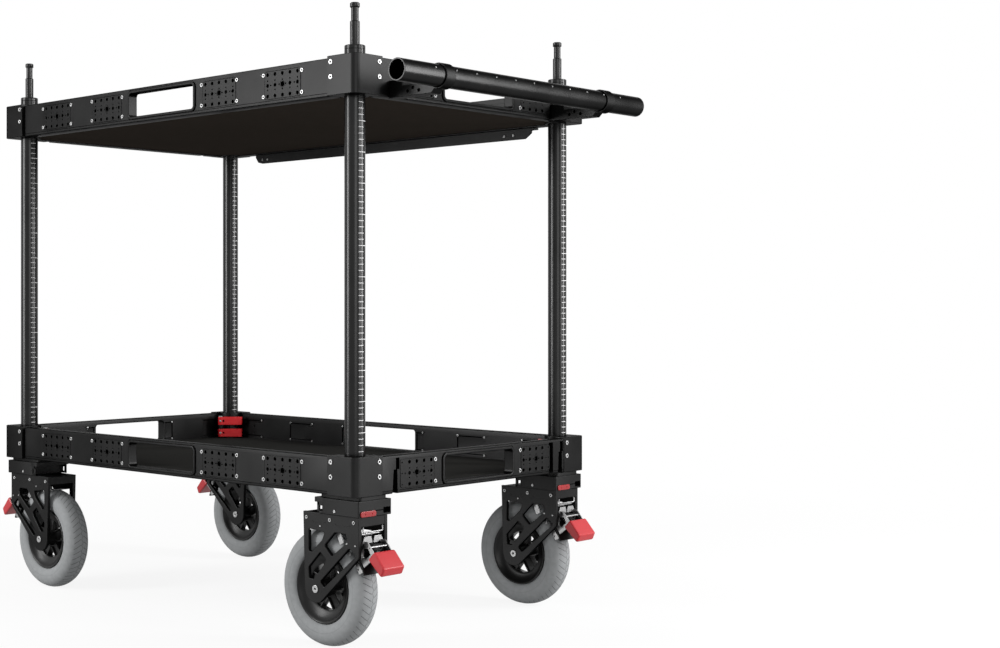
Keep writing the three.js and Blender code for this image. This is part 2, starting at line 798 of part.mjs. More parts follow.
// Tyre: stands on one of its flats, which is the wheel's radius away from the axle
function tyre() {
  const flat = halfTurn / wheelSides;
  const seat = (rimRadius + clearance) / Math.cos(flat);
  const crown = wheelRadius / Math.cos(flat);
  const half = tyreWidth / 2;
  const side = tyreShares.map(([depth, width]) => [seat + depth * (crown - seat), width * half]);
  const mirrored = side.map(([r, y]) => [r, -y]).reverse();
  return solid(turned([...side, [crown, 0], ...mirrored], wheelSides, flat));
}

// Brake: the capped pedal, two cheek plates on the pin and a curved shoe off the tyre
function brakePedal() {
  const capX = forkFront + pedalCentreReach;
  const [halfLength, halfThickness] = [pedalLength / 2, pedalThickness / 2];
  const section = rounded(rectangle(-halfLength, -halfThickness, halfLength, halfThickness), pedalRadius);
  const cap = drawnY(section, -pedalWidth / 2, pedalWidth / 2);
  cap.rotateY(-pedalTilt).translate(capX, 0, pedalCentreHeight);
  const inner = wheelRadius + shoeGap;
  const shoeOutline = [
    ...arc(-trail, wheelRadius, inner + shoeThickness, shoeStart, shoeEnd, filletSteps),
    ...arc(-trail, wheelRadius, inner, shoeEnd, shoeStart, filletSteps),
  ];
  const onShoe = (angle) => [
    -trail + (inner + shoeThickness / 2) * Math.cos(angle),
    wheelRadius + (inner + shoeThickness / 2) * Math.sin(angle),
  ];
  const onCap = (along, across) => {
    const place = new THREE.Vector2(along * pedalLength / 2, across * pedalThickness / 2);
    place.rotateAround(new THREE.Vector2(), pedalTilt);
    return [capX + place.x, pedalCentreHeight + place.y];
  };
  const cheek = [
    onShoe(shoeEnd),
    onShoe(shoeStart),
    onCap(0, -capShare),
    onCap(-capShare, capShare),
    [brakePinX + cheekReach, brakePinZ + cheekReach],
    [brakePinX - cheekReach, brakePinZ + cheekReach],
    [brakePinX - cheekReach, brakePinZ - cheekReach],
  ];
  const hole = circle(brakePinX, brakePinZ, runningRadius(brakePinRadius, rodSides), rodSides);
  const outside = cheekSpacing / 2;
  return solid(cap)
    .add(solid(drawnY(shoeOutline, -shoeWidth / 2, shoeWidth / 2)))
    .add(solid(drawnY(cheek, -outside, -outside + cheekThickness, [hole])))
    .add(solid(drawnY(cheek, outside - cheekThickness, outside, [hole])));
}

Object.entries(cornerPlaces).forEach(([corner, [signX, signY]]) => {
  const caster = new THREE.Group();
  const x = frameLength / 2 - swivelInsetX;
  const y = frameWidth / 2 - swivelInsetY;
  caster.position.set(signX * x, signY * y, 0);
  caster.rotation.z = signX > 0 ? 0 : halfTurn;
  cart.add(caster);
  addPiece(caster, `${corner}_caster_mount`, casterMount(), forkBlack());
  addPiece(caster, `${corner}_swivel_lock`, swivelLock(), leverRed());
  addPiece(caster, `${corner}_fork`, fork(), forkBlack());
  addPiece(caster, `${corner}_brake_pedal`, brakePedal(), signalRed());
  const wheel = new THREE.Group();
  wheel.position.set(-trail, 0, wheelRadius);
  caster.add(wheel);
  addPiece(wheel, `${corner}_rim`, rim(), plasticBlack());
  addPiece(wheel, `${corner}_tyre`, tyre(), tyreGrey());
});

// The origin goes under the middle of the whole outline
cart.updateMatrixWorld(true);
const outlineBox = new THREE.Box3().setFromObject(cart, true);
const outlineMiddle = outlineBox.getCenter(new THREE.Vector3());
cart.position.set(-outlineMiddle.x, -outlineMiddle.y, -outlineBox.min.z);

export default cart;
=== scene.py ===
# Camera cart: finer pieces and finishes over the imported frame. Lengths are in millimetres until they are placed.
import math

import bpy
from mathutils import Matrix, Vector


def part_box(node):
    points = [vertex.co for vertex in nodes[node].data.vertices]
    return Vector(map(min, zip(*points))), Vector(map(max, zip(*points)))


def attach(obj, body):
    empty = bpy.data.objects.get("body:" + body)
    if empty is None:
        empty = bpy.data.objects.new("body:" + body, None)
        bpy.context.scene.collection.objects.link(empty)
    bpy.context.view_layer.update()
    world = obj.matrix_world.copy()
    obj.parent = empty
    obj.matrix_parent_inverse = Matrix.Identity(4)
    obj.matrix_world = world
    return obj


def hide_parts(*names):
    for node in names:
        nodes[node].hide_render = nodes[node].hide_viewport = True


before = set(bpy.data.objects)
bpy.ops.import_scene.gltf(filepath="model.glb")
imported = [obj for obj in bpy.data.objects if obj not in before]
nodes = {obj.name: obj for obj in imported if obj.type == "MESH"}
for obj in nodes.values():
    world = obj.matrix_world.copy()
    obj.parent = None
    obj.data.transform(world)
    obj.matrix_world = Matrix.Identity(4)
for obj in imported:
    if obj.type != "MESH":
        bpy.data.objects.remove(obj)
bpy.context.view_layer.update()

mm = 0.001
deckLow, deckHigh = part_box("lower_deck")
cart = {
    "middle": (deckLow.x + deckHigh.x) / 2 / mm,  # of the frame, along X
    "halfLength": 492,
    "halfWidth": 306,
    "floorToShelf": {level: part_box(level + "_front_rail")[0].z / mm for level in ("lower", "upper")},
}
bodyOfShelf = {"lower": "frame", "upper": "upper_shelf"}
corners = {"push_front": (1, -1), "push_rear": (1, 1), "far_front": (-1, -1), "far_rear": (-1, 1)}


# Modelling helpers
def deselectAll():
    bpy.ops.object.select_all(action="DESELECT")


def pick(*pieces):
    deselectAll()
    for piece in pieces:
        piece.select_set(True)
    bpy.context.view_layer.objects.active = pieces[0]


def tidyMesh(piece, smoothAngle=21):  # merges doubles, turns the faces outwards, smooths what is nearly flat
    pick(piece)
    bpy.ops.object.mode_set(mode="EDIT")
    bpy.ops.mesh.select_all(action="SELECT")
    bpy.ops.mesh.remove_doubles(threshold=0.000002)
    bpy.ops.mesh.normals_make_consistent(inside=False)
    bpy.ops.object.mode_set(mode="OBJECT")
    bpy.ops.object.shade_smooth_by_angle(angle=math.radians(smoothAngle))
    return piece


def modify(piece, kind, **settings):
    pick(piece)
    modifier = piece.modifiers.new(kind, kind)
    for key, value in settings.items():
        setattr(modifier, key, value)
    bpy.ops.object.modifier_apply(modifier=modifier.name)


def arcPoints(x, y, radius, start, end, steps):  # angles in degrees, both ends included
    angles = [math.radians(start + (end - start) * i / steps) for i in range(steps + 1)]
    return [(x + radius * math.cos(a), y + radius * math.sin(a)) for a in angles]


def circlePoints(x, y, radius, steps=24, start=0):
    return arcPoints(x, y, radius, start, start + 360, steps)[:-1]


def boxPoints(x0, y0, x1, y1):
    return [(x0, y0), (x1, y0), (x1, y1), (x0, y1)]


def roundedPoints(corners, radius, steps=5):  # a corner may carry its own radius as a third value
    points = []
    for i, corner in enumerate(corners):
        place = Vector(corner[:2])
        before = Vector(corners[i - 1][:2]) - place
        after = Vector(corners[(i + 1) % len(corners)][:2]) - place
        half = before.angle(after) / 2
        room = min(before.length, after.length) * 0.48
        r = min(corner[2] if len(corner) > 2 else radius, room * math.tan(half))
        if r <= 0 or half > math.radians(89):
            points.append(tuple(place))
            continue
        middle = (before.normalized() + after.normalized()).normalized() * r / math.sin(half)
        first = before.normalized() * r / math.tan(half) - middle
        last = after.normalized() * r / math.tan(half) - middle
        start = math.degrees(math.atan2(first.y, first.x))
        sweep = math.degrees(math.atan2(last.y, last.x)) - start
        sweep = (sweep + 180) % 360 - 180
        points += arcPoints(place.x + middle.x, place.y + middle.y, r, start, start + sweep, steps)
    return points


planes = {  # which way an outline and its thickness look
    "X": Matrix(((0, 0, 1), (1, 0, 0), (0, 1, 0))),
    "Y": Matrix(((1, 0, 0), (0, 0, -1), (0, 1, 0))),
    "Z": Matrix.Identity(3),
}


def newObject(name, data):
    piece = bpy.data.objects.new(name, data)
    bpy.context.scene.collection.objects.link(piece)
    return piece


def lineCurve(name, lines, closed=True):
    curve = bpy.data.curves.new(name, "CURVE")
    for line in lines:
        spline = curve.splines.new("POLY")
        spline.points.add(len(line) - 1)
        for point, place in zip(spline.points, line):
            point.co = (*(Vector(place).to_3d() * mm), 1)
        spline.use_cyclic_u = closed
    return newObject(name, curve)


def toMesh(piece):
    pick(piece)
    bpy.ops.object.convert(target="MESH")
    return bpy.context.object


def settle(piece, turn, shift):  # puts the place of a piece into its mesh
    piece.matrix_world = Matrix.Translation(Vector(shift) * mm) @ turn.to_4x4()
    bpy.ops.object.transform_apply(location=True, rotation=True, scale=True)
    return piece


def flatPiece(name, outlines, low, high, edge=0.8, along="Z"):  # a plate with holes and softened edges
    piece = lineCurve(name, outlines)
    curve = piece.data
    curve.dimensions = "2D"
    curve.fill_mode = "BOTH"
    curve.extrude = ((high - low) / 2 - edge) * mm
    curve.bevel_depth = edge * mm
    curve.bevel_resolution = 1
    curve.offset = -edge * mm
    shift = [(low + high) / 2 if axis == along else 0 for axis in "XYZ"]
    return tidyMesh(settle(toMesh(piece), planes[along], shift))


def sidePlate(name, outlines, side, inner, outer, edge):  # stands off the middle, towards -Y where the side is -1
    low, high = sorted((side * inner, side * outer))
    return flatPiece(name, outlines, low, high, edge, "Y")


def turnedPiece(name, profile, along="Z", centre=(0, 0, 0), steps=48):  # a profile of radius and height, spun
    ring = profile[0][0] > 0 and profile[-1][0] > 0
    piece = lineCurve(name, [[(r, 0, h) for r, h in profile]], closed=ring)
    piece.data.dimensions = "3D"
    piece = toMesh(piece)
    bpy.ops.object.mode_set(mode="EDIT")
    bpy.ops.mesh.select_all(action="SELECT")
    bpy.ops.mesh.spin(steps=steps, angle=math.tau, center=(0, 0, 0), axis=(0, 0, 1))
    bpy.ops.object.mode_set(mode="OBJECT")
    turn = Matrix(((1, 0, 0), (0, 0, 1), (0, -1, 0))) if along == "Y" else planes[along]
    return tidyMesh(settle(piece, turn, centre), 35)


def rod(name, radius, low, high, along="Y", centre=(0, 0, 0), edge=0.4, steps=24):
    side = [(radius - edge, low), (radius, low + edge), (radius, high - edge), (radius - edge, high)]
    return turnedPiece(name, [(0, low), *side, (0, high)], along, centre, steps)


def block(name, low, high, edge=0.8):
    low, high = Vector(low) * mm, Vector(high) * mm
    deselectAll()
    bpy.ops.mesh.primitive_cube_add(size=1, location=(low + high) / 2, scale=high - low)
    piece = bpy.context.object
    piece.name = name
    bpy.ops.object.transform_apply(location=True, rotation=True, scale=True)
    if edge:
        modify(piece, "BEVEL", width=edge * mm, segments=2, limit_method="NONE")
        tidyMesh(piece)
    return piece


def bentWire(name, points, radius):  # a round wire along a line
    piece = lineCurve(name, [points], closed=False)
    piece.data.dimensions = "3D"
    piece.data.bevel_depth = radius * mm
    piece.data.bevel_resolution = 3
    piece.data.use_fill_caps = True
    return tidyMesh(toMesh(piece), 50)


def cut(piece, *cutters):
    for cutter in cutters:
        modify(piece, "BOOLEAN", operation="DIFFERENCE", solver="EXACT", object=cutter)
        bpy.data.objects.remove(cutter)
    return tidyMesh(piece)


def joined(name, *pieces):
    pick(*pieces)
    if len(pieces) > 1:
        bpy.ops.object.join()
    bpy.context.object.name = name
    return bpy.context.object


def at(x=0, y=0, z=0, turn=0):
    return Matrix.Translation(Vector((x, y, z)) * mm) @ Matrix.Rotation(math.radians(turn), 4, "Z")


def facing(normal, x, y, z):  # turns a piece that looks up so that it looks along the normal
    return at(x, y, z) @ Vector(normal).to_track_quat("Z", "Y").to_matrix().to_4x4()


def copyPiece(source, name, place):
    piece = newObject(name, source.data.copy())
    piece.data.transform(place)
    if place.determinant() < 0:
        piece.data.flip_normals()
    return piece


def scatter(name, source, places):
    return joined(name, *[copyPiece(source, name, place) for place in places])


def drop(*pieces):
    for piece in pieces:
        bpy.data.objects.remove(piece)


def finish(piece, look, slot, body, *replaced):
    piece.data.materials.clear()
    piece.data.materials.append(finishes[look])
    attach(piece, body)
    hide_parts(*replaced)


# Shader maths
class Flow:  # a socket that takes part in sums
    def __init__(self, sheet, socket):
        self.sheet = sheet
        self.socket = socket

    def math(self, operation, *others):  # this socket is the first value
        values = dict(enumerate((self, *others)))
        return self.sheet.node("ShaderNodeMath", {"operation": operation}, values)

    def __add__(self, other):
        return self.math("ADD", other)

    def __sub__(self, other):
        return self.math("SUBTRACT", other)

    def __rsub__(self, other):
        return self.math("MULTIPLY_ADD", -1, other)

    def __mul__(self, other):
        return self.math("MULTIPLY", other)

    def __truediv__(self, other):
        return self.math("DIVIDE", other)

    def __lt__(self, other):
        return self.math("LESS_THAN", other)

    def __gt__(self, other):
        return self.math("GREATER_THAN", other)

    def __abs__(self):
        return self.math("ABSOLUTE")

    __radd__ = __add__
    __rmul__ = __mul__


socketNames = {
    "colour": "Base Color", "coat": "Coat Weight", "gloss": "Specular IOR Level", "edge": "Specular Tint",
}


class Finish:  # one material, or the world, and its nodes
    def __init__(self, name, kind="materials", shader="Principled BSDF"):
        self.owner = getattr(bpy.data, kind).new(name)
        self.owner.use_nodes = True
        self.tree = self.owner.node_tree
        self.shader = self.tree.nodes[shader]

    def node(self, kind, settings=None, inputs=None, output=0):
        node = self.tree.nodes.new(kind)
        for key, value in (settings or {}).items():
            setattr(node, key, value)
        for key, value in (inputs or {}).items():
            self.connect(node.inputs[key], value)
        return Flow(self, node.outputs[output])

    def connect(self, socket, value):
        if isinstance(value, Flow):
            self.tree.links.new(value.socket, socket)
        else:
            socket.default_value = value

    def noise(self, scale, detail=2, coordinates=None):
        inputs = {"Scale": scale, "Detail": detail}
        inputs["Vector"] = coordinates or self.node("ShaderNodeTexCoord", output="Object")
        return self.node("ShaderNodeTexNoise", inputs=inputs, output="Fac")

    def blend(self, factor, one, other):
        inputs = {0: factor, 6: one, 7: other}
        return self.node("ShaderNodeMix", {"data_type": "RGBA"}, inputs, 2)

    def bump(self, height, strength, distance, normal=None):
        inputs = {"Height": height, "Strength": strength, "Distance": distance * mm}
        if normal:
            inputs["Normal"] = normal
        return self.node("ShaderNodeBump", inputs=inputs)

    def seen(self):  # 1 for what the lens, a shiny face or clear glass looks at, 0 for what lights the object
        lens = self.node("ShaderNodeLightPath", output="Is Camera Ray")
        shiny = self.node("ShaderNodeLightPath", output="Is Glossy Ray")
        clear = self.node("ShaderNodeLightPath", output="Is Transmission Ray")
        return lens.math("MAXIMUM", shiny).math("MAXIMUM", clear)

    def feed(self, **inputs):
        for key, value in inputs.items():
            self.connect(self.shader.inputs[socketNames.get(key, key.title())], value)
        return self.owner


def shade(code, strength=1.0):  # a colour as it is seen, such as 3a3a3a, turned into light
    parts = [int(code[i:i + 2], 16) / 255 for i in (0, 2, 4)]
    light = [c / 12.92 if c <= 0.04045 else ((c + 0.055) / 1.055) ** 2.4 for c in parts]
    return (*[c * strength for c in light], 1)


def coatedMetal(name, colour, roughness, gloss=0.5, metal=1.0, edge=1.0, grain=0.15, grainSize=900, waves=0.02):
    paint = Finish(name)
    cloudy = paint.noise(14, detail=3)
    fine = paint.noise(grainSize)
    tone = paint.blend(cloudy, shade(colour, 0.75), shade(colour, 1.3))
    speckled = paint.blend((fine > 0.66) * 0.25, tone, shade(colour, 2.2))
    rough = roughness + (cloudy - 0.5) * 0.12 + (fine - 0.5) * 0.1
    return paint.feed(
        colour=speckled, roughness=rough, metallic=metal, gloss=gloss, edge=(edge, edge, edge, 1),
        normal=paint.bump(fine, grain, distance=0.04, normal=paint.bump(cloudy, waves, distance=0.5)),
    )


def brushedSteel(name, colour, roughness):
    paint = Finish(name)
    place = paint.node("ShaderNodeTexCoord", output="Object")
    stretched = paint.node("ShaderNodeMapping", inputs={"Vector": place, "Scale": (1, 1, 9)})
    streaks = paint.noise(420, 3, stretched)
    stains = paint.noise(60)
    tone = paint.blend(stains, shade(colour, 0.8), shade(colour, 1.1))
    return paint.feed(
        colour=tone, metallic=1.0, roughness=roughness + (streaks - 0.5) * 0.15,
        normal=paint.bump(streaks, strength=0.1, distance=0.02),
    )


def mouldedPlastic(name, colour, roughness, gloss, coat=0.0):
    paint = Finish(name)
    grain = paint.noise(1500)
    cloudy = paint.noise(25)
    tone = paint.blend(cloudy, shade(colour, 0.88), shade(colour, 1.12))
    return paint.feed(
        colour=tone, roughness=roughness + (cloudy - 0.5) * 0.1, coat=coat, gloss=gloss,
        normal=paint.bump(grain, strength=0.2, distance=0.05),
    )


def deckBoard(name, middle):  # a black coating on top, bare brown board underneath; painted light as well: the underside is coloured lighter to make up for the shade under the deck, the top darker against the light from above
    paint = Finish(name)
    place = paint.node("ShaderNodeTexCoord", output="Object")
    above = paint.node("ShaderNodeSeparateXYZ", inputs={0: place}, output=2) > middle
    along = paint.node("ShaderNodeMapping", inputs={"Vector": place, "Scale": (1, 12, 1)})
    grain = paint.noise(30, 4, along)
    pores = paint.noise(700)
    shadedUndersideBoard = paint.blend(grain, shade("322e2a"), shade("3f3934"))
    litTopCoating = paint.blend(grain, shade("232322"), shade("2b2b2a"))
    # painted light: the lighter board below and the darker coating above even out how light falls on the two faces
    tone = paint.blend(above, shadedUndersideBoard, litTopCoating)
    return paint.feed(
        colour=paint.blend((pores > 0.62) * 0.2, tone, shade("4c463f")), gloss=0.0,
        roughness=0.55 + (grain - 0.5) * 0.2, normal=paint.bump(pores, strength=0.25, distance=0.08),
    )


treadSizes = {  # across the tread in halves of its width: 0 in the middle, 1 and more on the sidewalls
    "sipes": 54, "sipeShift": 0.25, "slant": 1.3, "sipeWidth": 0.05, "sipeStart": 0.14, "sipeEnd": 0.74,
    "zigzag": 0.3, "line": 0.02, "ring": 1.6, "ringDepthAndShade": 0.2,
}


def tyreRubber(name):
    rubber = Finish(name)
    s = treadSizes
    wrap = rubber.node("ShaderNodeUVMap", {"uv_map": "wrap"})
    around = rubber.node("ShaderNodeSeparateXYZ", inputs={0: wrap}, output=0)
    across = rubber.node("ShaderNodeSeparateXYZ", inputs={0: wrap}, output=1)
    off = abs(across)
    # short slanted sipes on both sides of the middle, half a step apart, and a fine zigzag between them
    steps = around * s["sipes"]
    sway = steps + across.math("SIGN") * s["sipeShift"] - off * s["slant"]
    sipes = (abs(sway.math("FRACT") - 0.5) < s["sipeWidth"]) * (off > s["sipeStart"]) * (off < s["sipeEnd"])
    zigzag = abs(abs(steps.math("FRACT") - 0.5) * s["zigzag"] - s["zigzag"] / 4 + across) < s["line"]
    rings = (abs(off - s["ring"]) < s["line"]) * s["ringDepthAndShade"]
    cutsAndPaintedShade = sipes.math("MAXIMUM", zigzag).math("MAXIMUM", rings)
    dust = rubber.noise(120, detail=3)
    grain = rubber.noise(1400)
    tone = rubber.blend(dust, shade("797b7c"), shade("8f9192"))
    # the sipes, zigzag and ring are painted darker as painted shade in the grooves, besides their bump
    return rubber.feed(
        colour=rubber.blend(cutsAndPaintedShade * 0.8, tone, shade("3c3e40")), gloss=0.3,
        roughness=0.7 + (dust - 0.5) * 0.15,
        normal=rubber.bump(1 - cutsAndPaintedShade, 0.8, distance=0.8, normal=rubber.bump(grain, 0.3, distance=0.08)),
    )


finishes = {
    "frame": coatedMetal("frame_black", "232323", 0.4, edge=0.3),
    "post": coatedMetal("post_black", "2a2a2a", 0.25, edge=0.85, grain=0.03, grainSize=1200, waves=0.0),
    "tube": coatedMetal("tube_black", "292929", 0.27, edge=0.4, grain=0.03, grainSize=1200, waves=0.0),
    "caster": coatedMetal("caster_black", "262626", 0.46, edge=0.4),
    "rim": mouldedPlastic("rim_black", "101010", 0.36, 0.22),
    "tyre": tyreRubber("tyre_grey"),
    "pedal": mouldedPlastic("pedal_red", "a52329", 0.4, 0.32, 0.06),
    "lever": coatedMetal("lever_red", "b81d22", 0.36, 0.3, metal=0.0, grain=0.08, grainSize=1000),
    "tab": mouldedPlastic("tab_red", "840c11", 0.25, 0.4, 0.1),
    "steel": brushedSteel("bright_steel", "9c9c9c", 0.34),
    "zinc": brushedSteel("dull_zinc", "8e8e8e", 0.38),
    # painted shade: a near-black finish for the inside of the fork
    "dark": mouldedPlastic("painted_shade_black", "070707", 0.7, 0.1),
    "paint": mouldedPlastic("scale_white", "b8b8b8", 0.55, 0.3),
}
print("finishes made")

# Screws: a flanged head with a hexagonal socket, which looks up
screwSizes = {  # radius of the head and of its socket
    "plate": (3.4, 1.8), "block": (4.0, 2.0), "fork": (3.0, 1.7), "small": (2.4, 1.1), "dot": (2.4, 0.8),
    "button": (1.4, 0.4),
}
screwLow, screwHigh = -0.8, 1.1
screws = {}
for kind, (radius, socket) in screwSizes.items():
    outlines = [circlePoints(0, 0, radius, 20), circlePoints(0, 0, socket, 6)]
    screws[kind] = flatPiece(f"{kind}_screw", outlines, screwLow, screwHigh, 0.35)
screwPlaces = {"lower": {"plate": [], "block": []}, "upper": {"plate": [], "block": []}}

# Rails, looking along -Y with the outer face at Y = 0
railSizes = {
    "height": 62, "thickness": 18, "sideInset": 6, "endInset": 1, "blockSize": 63.3, "grooveHeight": 5.2,
    "channel": (13, 49), "channelSlope": 2, "channelDepth": 3, "ledge": 8, "ledgeHeight": 1.8,
    "gripLength": 182, "gripHeight": 43, "gripCentre": 31.5, "gripRadius": 6, "lip": 5, "lipProud": 2.8, "gap": 1.8,
    "sidePlates": ((-318.5, 0), (-159, 0), (159, 0), (318.5, 0)),  # the middle of a plate and its plain side
    "endPlates": ((-160, -1), (160, 1)),
    "brackets": ((357, 423.5, 390), (144, 229, 168.3), (-175, -103, -121.9)),  # start, end, place of the holes
    "bracketHeight": (15.6, 42.4), "bracketHole": 2.6, "bracketHoles": (20.4, 35.2),
    "recesses": ((321, 354), (117, 138), (-183.5, -177), (-196, -190)), "recessHeight": (16, 42),
    "tapped": 1.7, "tappedRows": (13, 50),
    "slots": (  # stepped slots of the end rails, and a straight one beside the plate at the rear
        ((-219.2, -5), (-205.7, -5), (-207.2, 39), (-202.1, 39), (-202.1, 58), (-210.5, 58), (-210.5, 39),
         (-215.7, 39)),
        ((225, -5), (238, -5), (237, 39), (240.5, 39), (240.5, 58), (231.5, 58), (231.5, 39), (227.5, 39)),
        ((198, -5), (210.5, -5), (210.5, 57), (198, 57)),
    ),
}
plateSizes = {
    "length": 86, "height": 46, "proud": 0.5, "back": 4, "centre": 31, "corner": 4.5, "pitch": 18, "gap": 0.9,
    "hole": 3.1, "middleHole": 4.6, "pinHole": 1.3, "pinsAcross": (-28.5, -8, 8, 28.5), "pinsUp": (-7.7, 7.7),
    "ring": (6.3, 5.7), "screwX": 46.25, "screwZ": 18, "innerScrew": 0.6, "pocket": 1.8,
}
clear = 9  # how far a cutter reaches past a face


def plateOutline(plain, margin=0.0):  # the plain side is the one beside a stepped slot: -1, 1, or 0 for none
    s = plateSizes
    low, high = [side * (s["length"] / 2 - (3 if side == plain else 0) + margin) for side in (-1, 1)]
    halfHeight = s["height"] / 2 + margin
    outline = boxPoints(low, s["centre"] - halfHeight, high, s["centre"] + halfHeight)
    return roundedPoints(outline, s["corner"] + margin)


def makePlate(plain):
    s = plateSizes
    pitch, centre = s["pitch"], s["centre"]
    holes = []
    for column in range(-2, 3):
        small = column == 2 * plain and plain != 0
        for row in (-1, 0, 1):
            radius = s["middleHole"] if (column, row) == (0, 0) else s["pinHole"] if small else s["hole"]
            holes.append(circlePoints(column * pitch, centre + row * pitch, radius, 18))
        if not small:
            holes += [circlePoints(column * pitch, centre + z, s["pinHole"], 10) for z in s["pinsUp"]]
    holes += [circlePoints(x, centre, s["pinHole"], 10) for x in s["pinsAcross"]]
    plate = flatPiece("hole_plate", [plateOutline(plain), *holes], -s["proud"], s["back"], 0.3, "Y")
    ring = [circlePoints(0, centre, radius, 28) for radius in s["ring"]]
    return joined("hole_plate", plate, flatPiece("plate_ring", ring, -s["proud"] - 0.25, 0, 0.1, "Y"))


def makeInnerPlate():  # a plain cover, seen from inside the frame
    s = plateSizes
    x, z = s["length"] / 2 + 1, s["height"] / 2 - 1
    outline = roundedPoints(boxPoints(-x, s["centre"] - z, x, s["centre"] + z), s["corner"])
    return flatPiece("inner_plate", [outline], 9, railSizes["thickness"] - 0.6, 0.3, "Y")


def gripOutline(margin):
    s = railSizes
    x, z = s["gripLength"] / 2 + margin, s["gripHeight"] / 2 + margin
    return roundedPoints(boxPoints(-x, s["gripCentre"] - z, x, s["gripCentre"] + z), s["gripRadius"] + margin, 8)


def makeRail(kind, length):
    s = railSizes
    t, h, g, ledge = s["thickness"], s["height"], s["grooveHeight"], s["ledgeHeight"]
    (low, high), slope, deep = s["channel"], s["channelSlope"], t - s["channelDepth"]
    section = roundedPoints([
        (0, 0, 2), (0, g - 0.5, 0), (0.6, g, 0), (0, g + 0.5, 0), (0, h, 2), (t, h, 2), (t, high, 0.4),
        (deep, high - slope, 0.4), (deep, low + slope, 0.4), (t, low, 0.4), (t, ledge, 0.3),
        (t + s["ledge"], ledge, 0.4), (t + s["ledge"], 0, 0.4),
    ], 0, 4)
    name = kind + "_rail"
    rail = flatPiece(name, [section], -length / 2, length / 2, 0, "X")
    cut(rail, flatPiece("grip_cut", [gripOutline(1.5)], -clear, t + 12, 0, "Y"))
    lipGap = [gripOutline(s["lip"] + s["gap"]), gripOutline(s["lip"] - 1)]
    cut(rail, flatPiece("lip_gap", lipGap, -clear, 1.4, 0, "Y"))
    plates = s[kind + "Plates"]
    x, z, centre = plateSizes["length"] / 2 - 2, plateSizes["height"] / 2 - 2, plateSizes["centre"]
    for middle, plain in plates:
        pocket = [plateOutline(plain, plateSizes["gap"])]
        pocket = flatPiece("pocket", pocket, -clear, plateSizes["pocket"], 0, "Y")
        pocket.data.transform(at(middle))
        cut(rail, pocket)
        cut(rail, block("pocket", (middle - x, 0, centre - z), (middle + x, 30, centre + z), 0))
    if kind == "end":
        for slot in s["slots"]:
            cut(rail, flatPiece("slot_cut", [slot], -clear, 12, 0, "Y"))
    else:
        low, high = s["recessHeight"]
        recesses = [block("recess", (start, t - 9, low), (end, t + 1, high), 0) for start, end in s["recesses"]]
        cut(rail, joined("recesses", *recesses))
    holes = []
    for middle, plain in plates:
        for row in s["tappedRows"]:
            for column in range(-2, 3):
                place = (middle + column * plateSizes["pitch"], t, row)
                holes.append(rod("tapped", s["tapped"], -2.2, 2, "Y", place, 0, 10))
    cut(rail, joined("tapped", *holes))
    parts = [rail, flatPiece("grip_lip", [gripOutline(s["lip"]), gripOutline(0)], -s["lipProud"], t - 0.6, 1.5, "Y")]
    if kind == "side":
        low, high = s["bracketHeight"]
        for start, end, middle in s["brackets"]:  # small brackets in the channel of the inner side
            outline = roundedPoints(boxPoints(start, low, end, high), 1.5, 3)
            pair = [circlePoints(middle, z, s["bracketHole"], 16) for z in s["bracketHoles"]]
            parts.append(flatPiece("bracket", [outline, *pair], t - 3.2, t - 1.2, 0.4, "Y"))
    for middle, plain in plates:
        parts += [copyPiece(plate, name, at(middle)) for plate in (plateKinds[plain], innerPlate)]
    return joined(name, *parts)


def placePlateScrews(level, kind, place):  # on both faces of a rail, but not in the plain side of a plate
    s = plateSizes
    for middle, plain in railSizes[kind + "Plates"]:
        for across, up in ((-1, -1), (-1, 1), (1, -1), (1, 1)):
            if across == plain:
                continue
            x, z = middle + across * s["screwX"], s["centre"] + up * s["screwZ"]
            inner = place @ facing((0, 1, 0), x, railSizes["thickness"], z) @ Matrix.Scale(s["innerScrew"], 4)
            screwPlaces[level]["plate"] += [place @ facing((0, -1, 0), x, 0, z), inner]


plateKinds = {plain: makePlate(plain) for plain in (-1, 0, 1)}
innerPlate = makeInnerPlate()
railMasters = {
    "side": makeRail("side", 2 * (cart["halfLength"] - railSizes["blockSize"])),
    "end": makeRail("end", 2 * (cart["halfWidth"] - railSizes["blockSize"])),
}
railKinds = {
    "front": ("side", cart["halfWidth"] - railSizes["sideInset"], 0),
    "rear": ("side", cart["halfWidth"] - railSizes["sideInset"], 180),
    "push_end": ("end", cart["halfLength"] - railSizes["endInset"], 90),
    "far_end": ("end", cart["halfLength"] - railSizes["endInset"], -90),
}
for level, height in cart["floorToShelf"].items():
    for side, (kind, distance, turn) in railKinds.items():
        angle = math.radians(turn)
        place = at(cart["middle"] + distance * math.sin(angle), -distance * math.cos(angle), height, turn)
        name = f"{level}_{side}_rail"
        finish(copyPiece(railMasters[kind], name + "_shell", place), "frame", "frame_black", bodyOfShelf[level], name)
        placePlateScrews(level, kind, place)
drop(innerPlate, *plateKinds.values(), *railMasters.values())
print("rails made")

# Decks keep their CAD solids
for level in cart["floorToShelf"]:
    deck = nodes[f"{level}_deck"]
    low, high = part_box(f"{level}_deck")
    middle = (deck.matrix_world.inverted() @ ((low + high) / 2)).z
    deck.data.materials.clear()
    deck.data.materials.append(deckBoard(f"{level}_deck_board", middle))

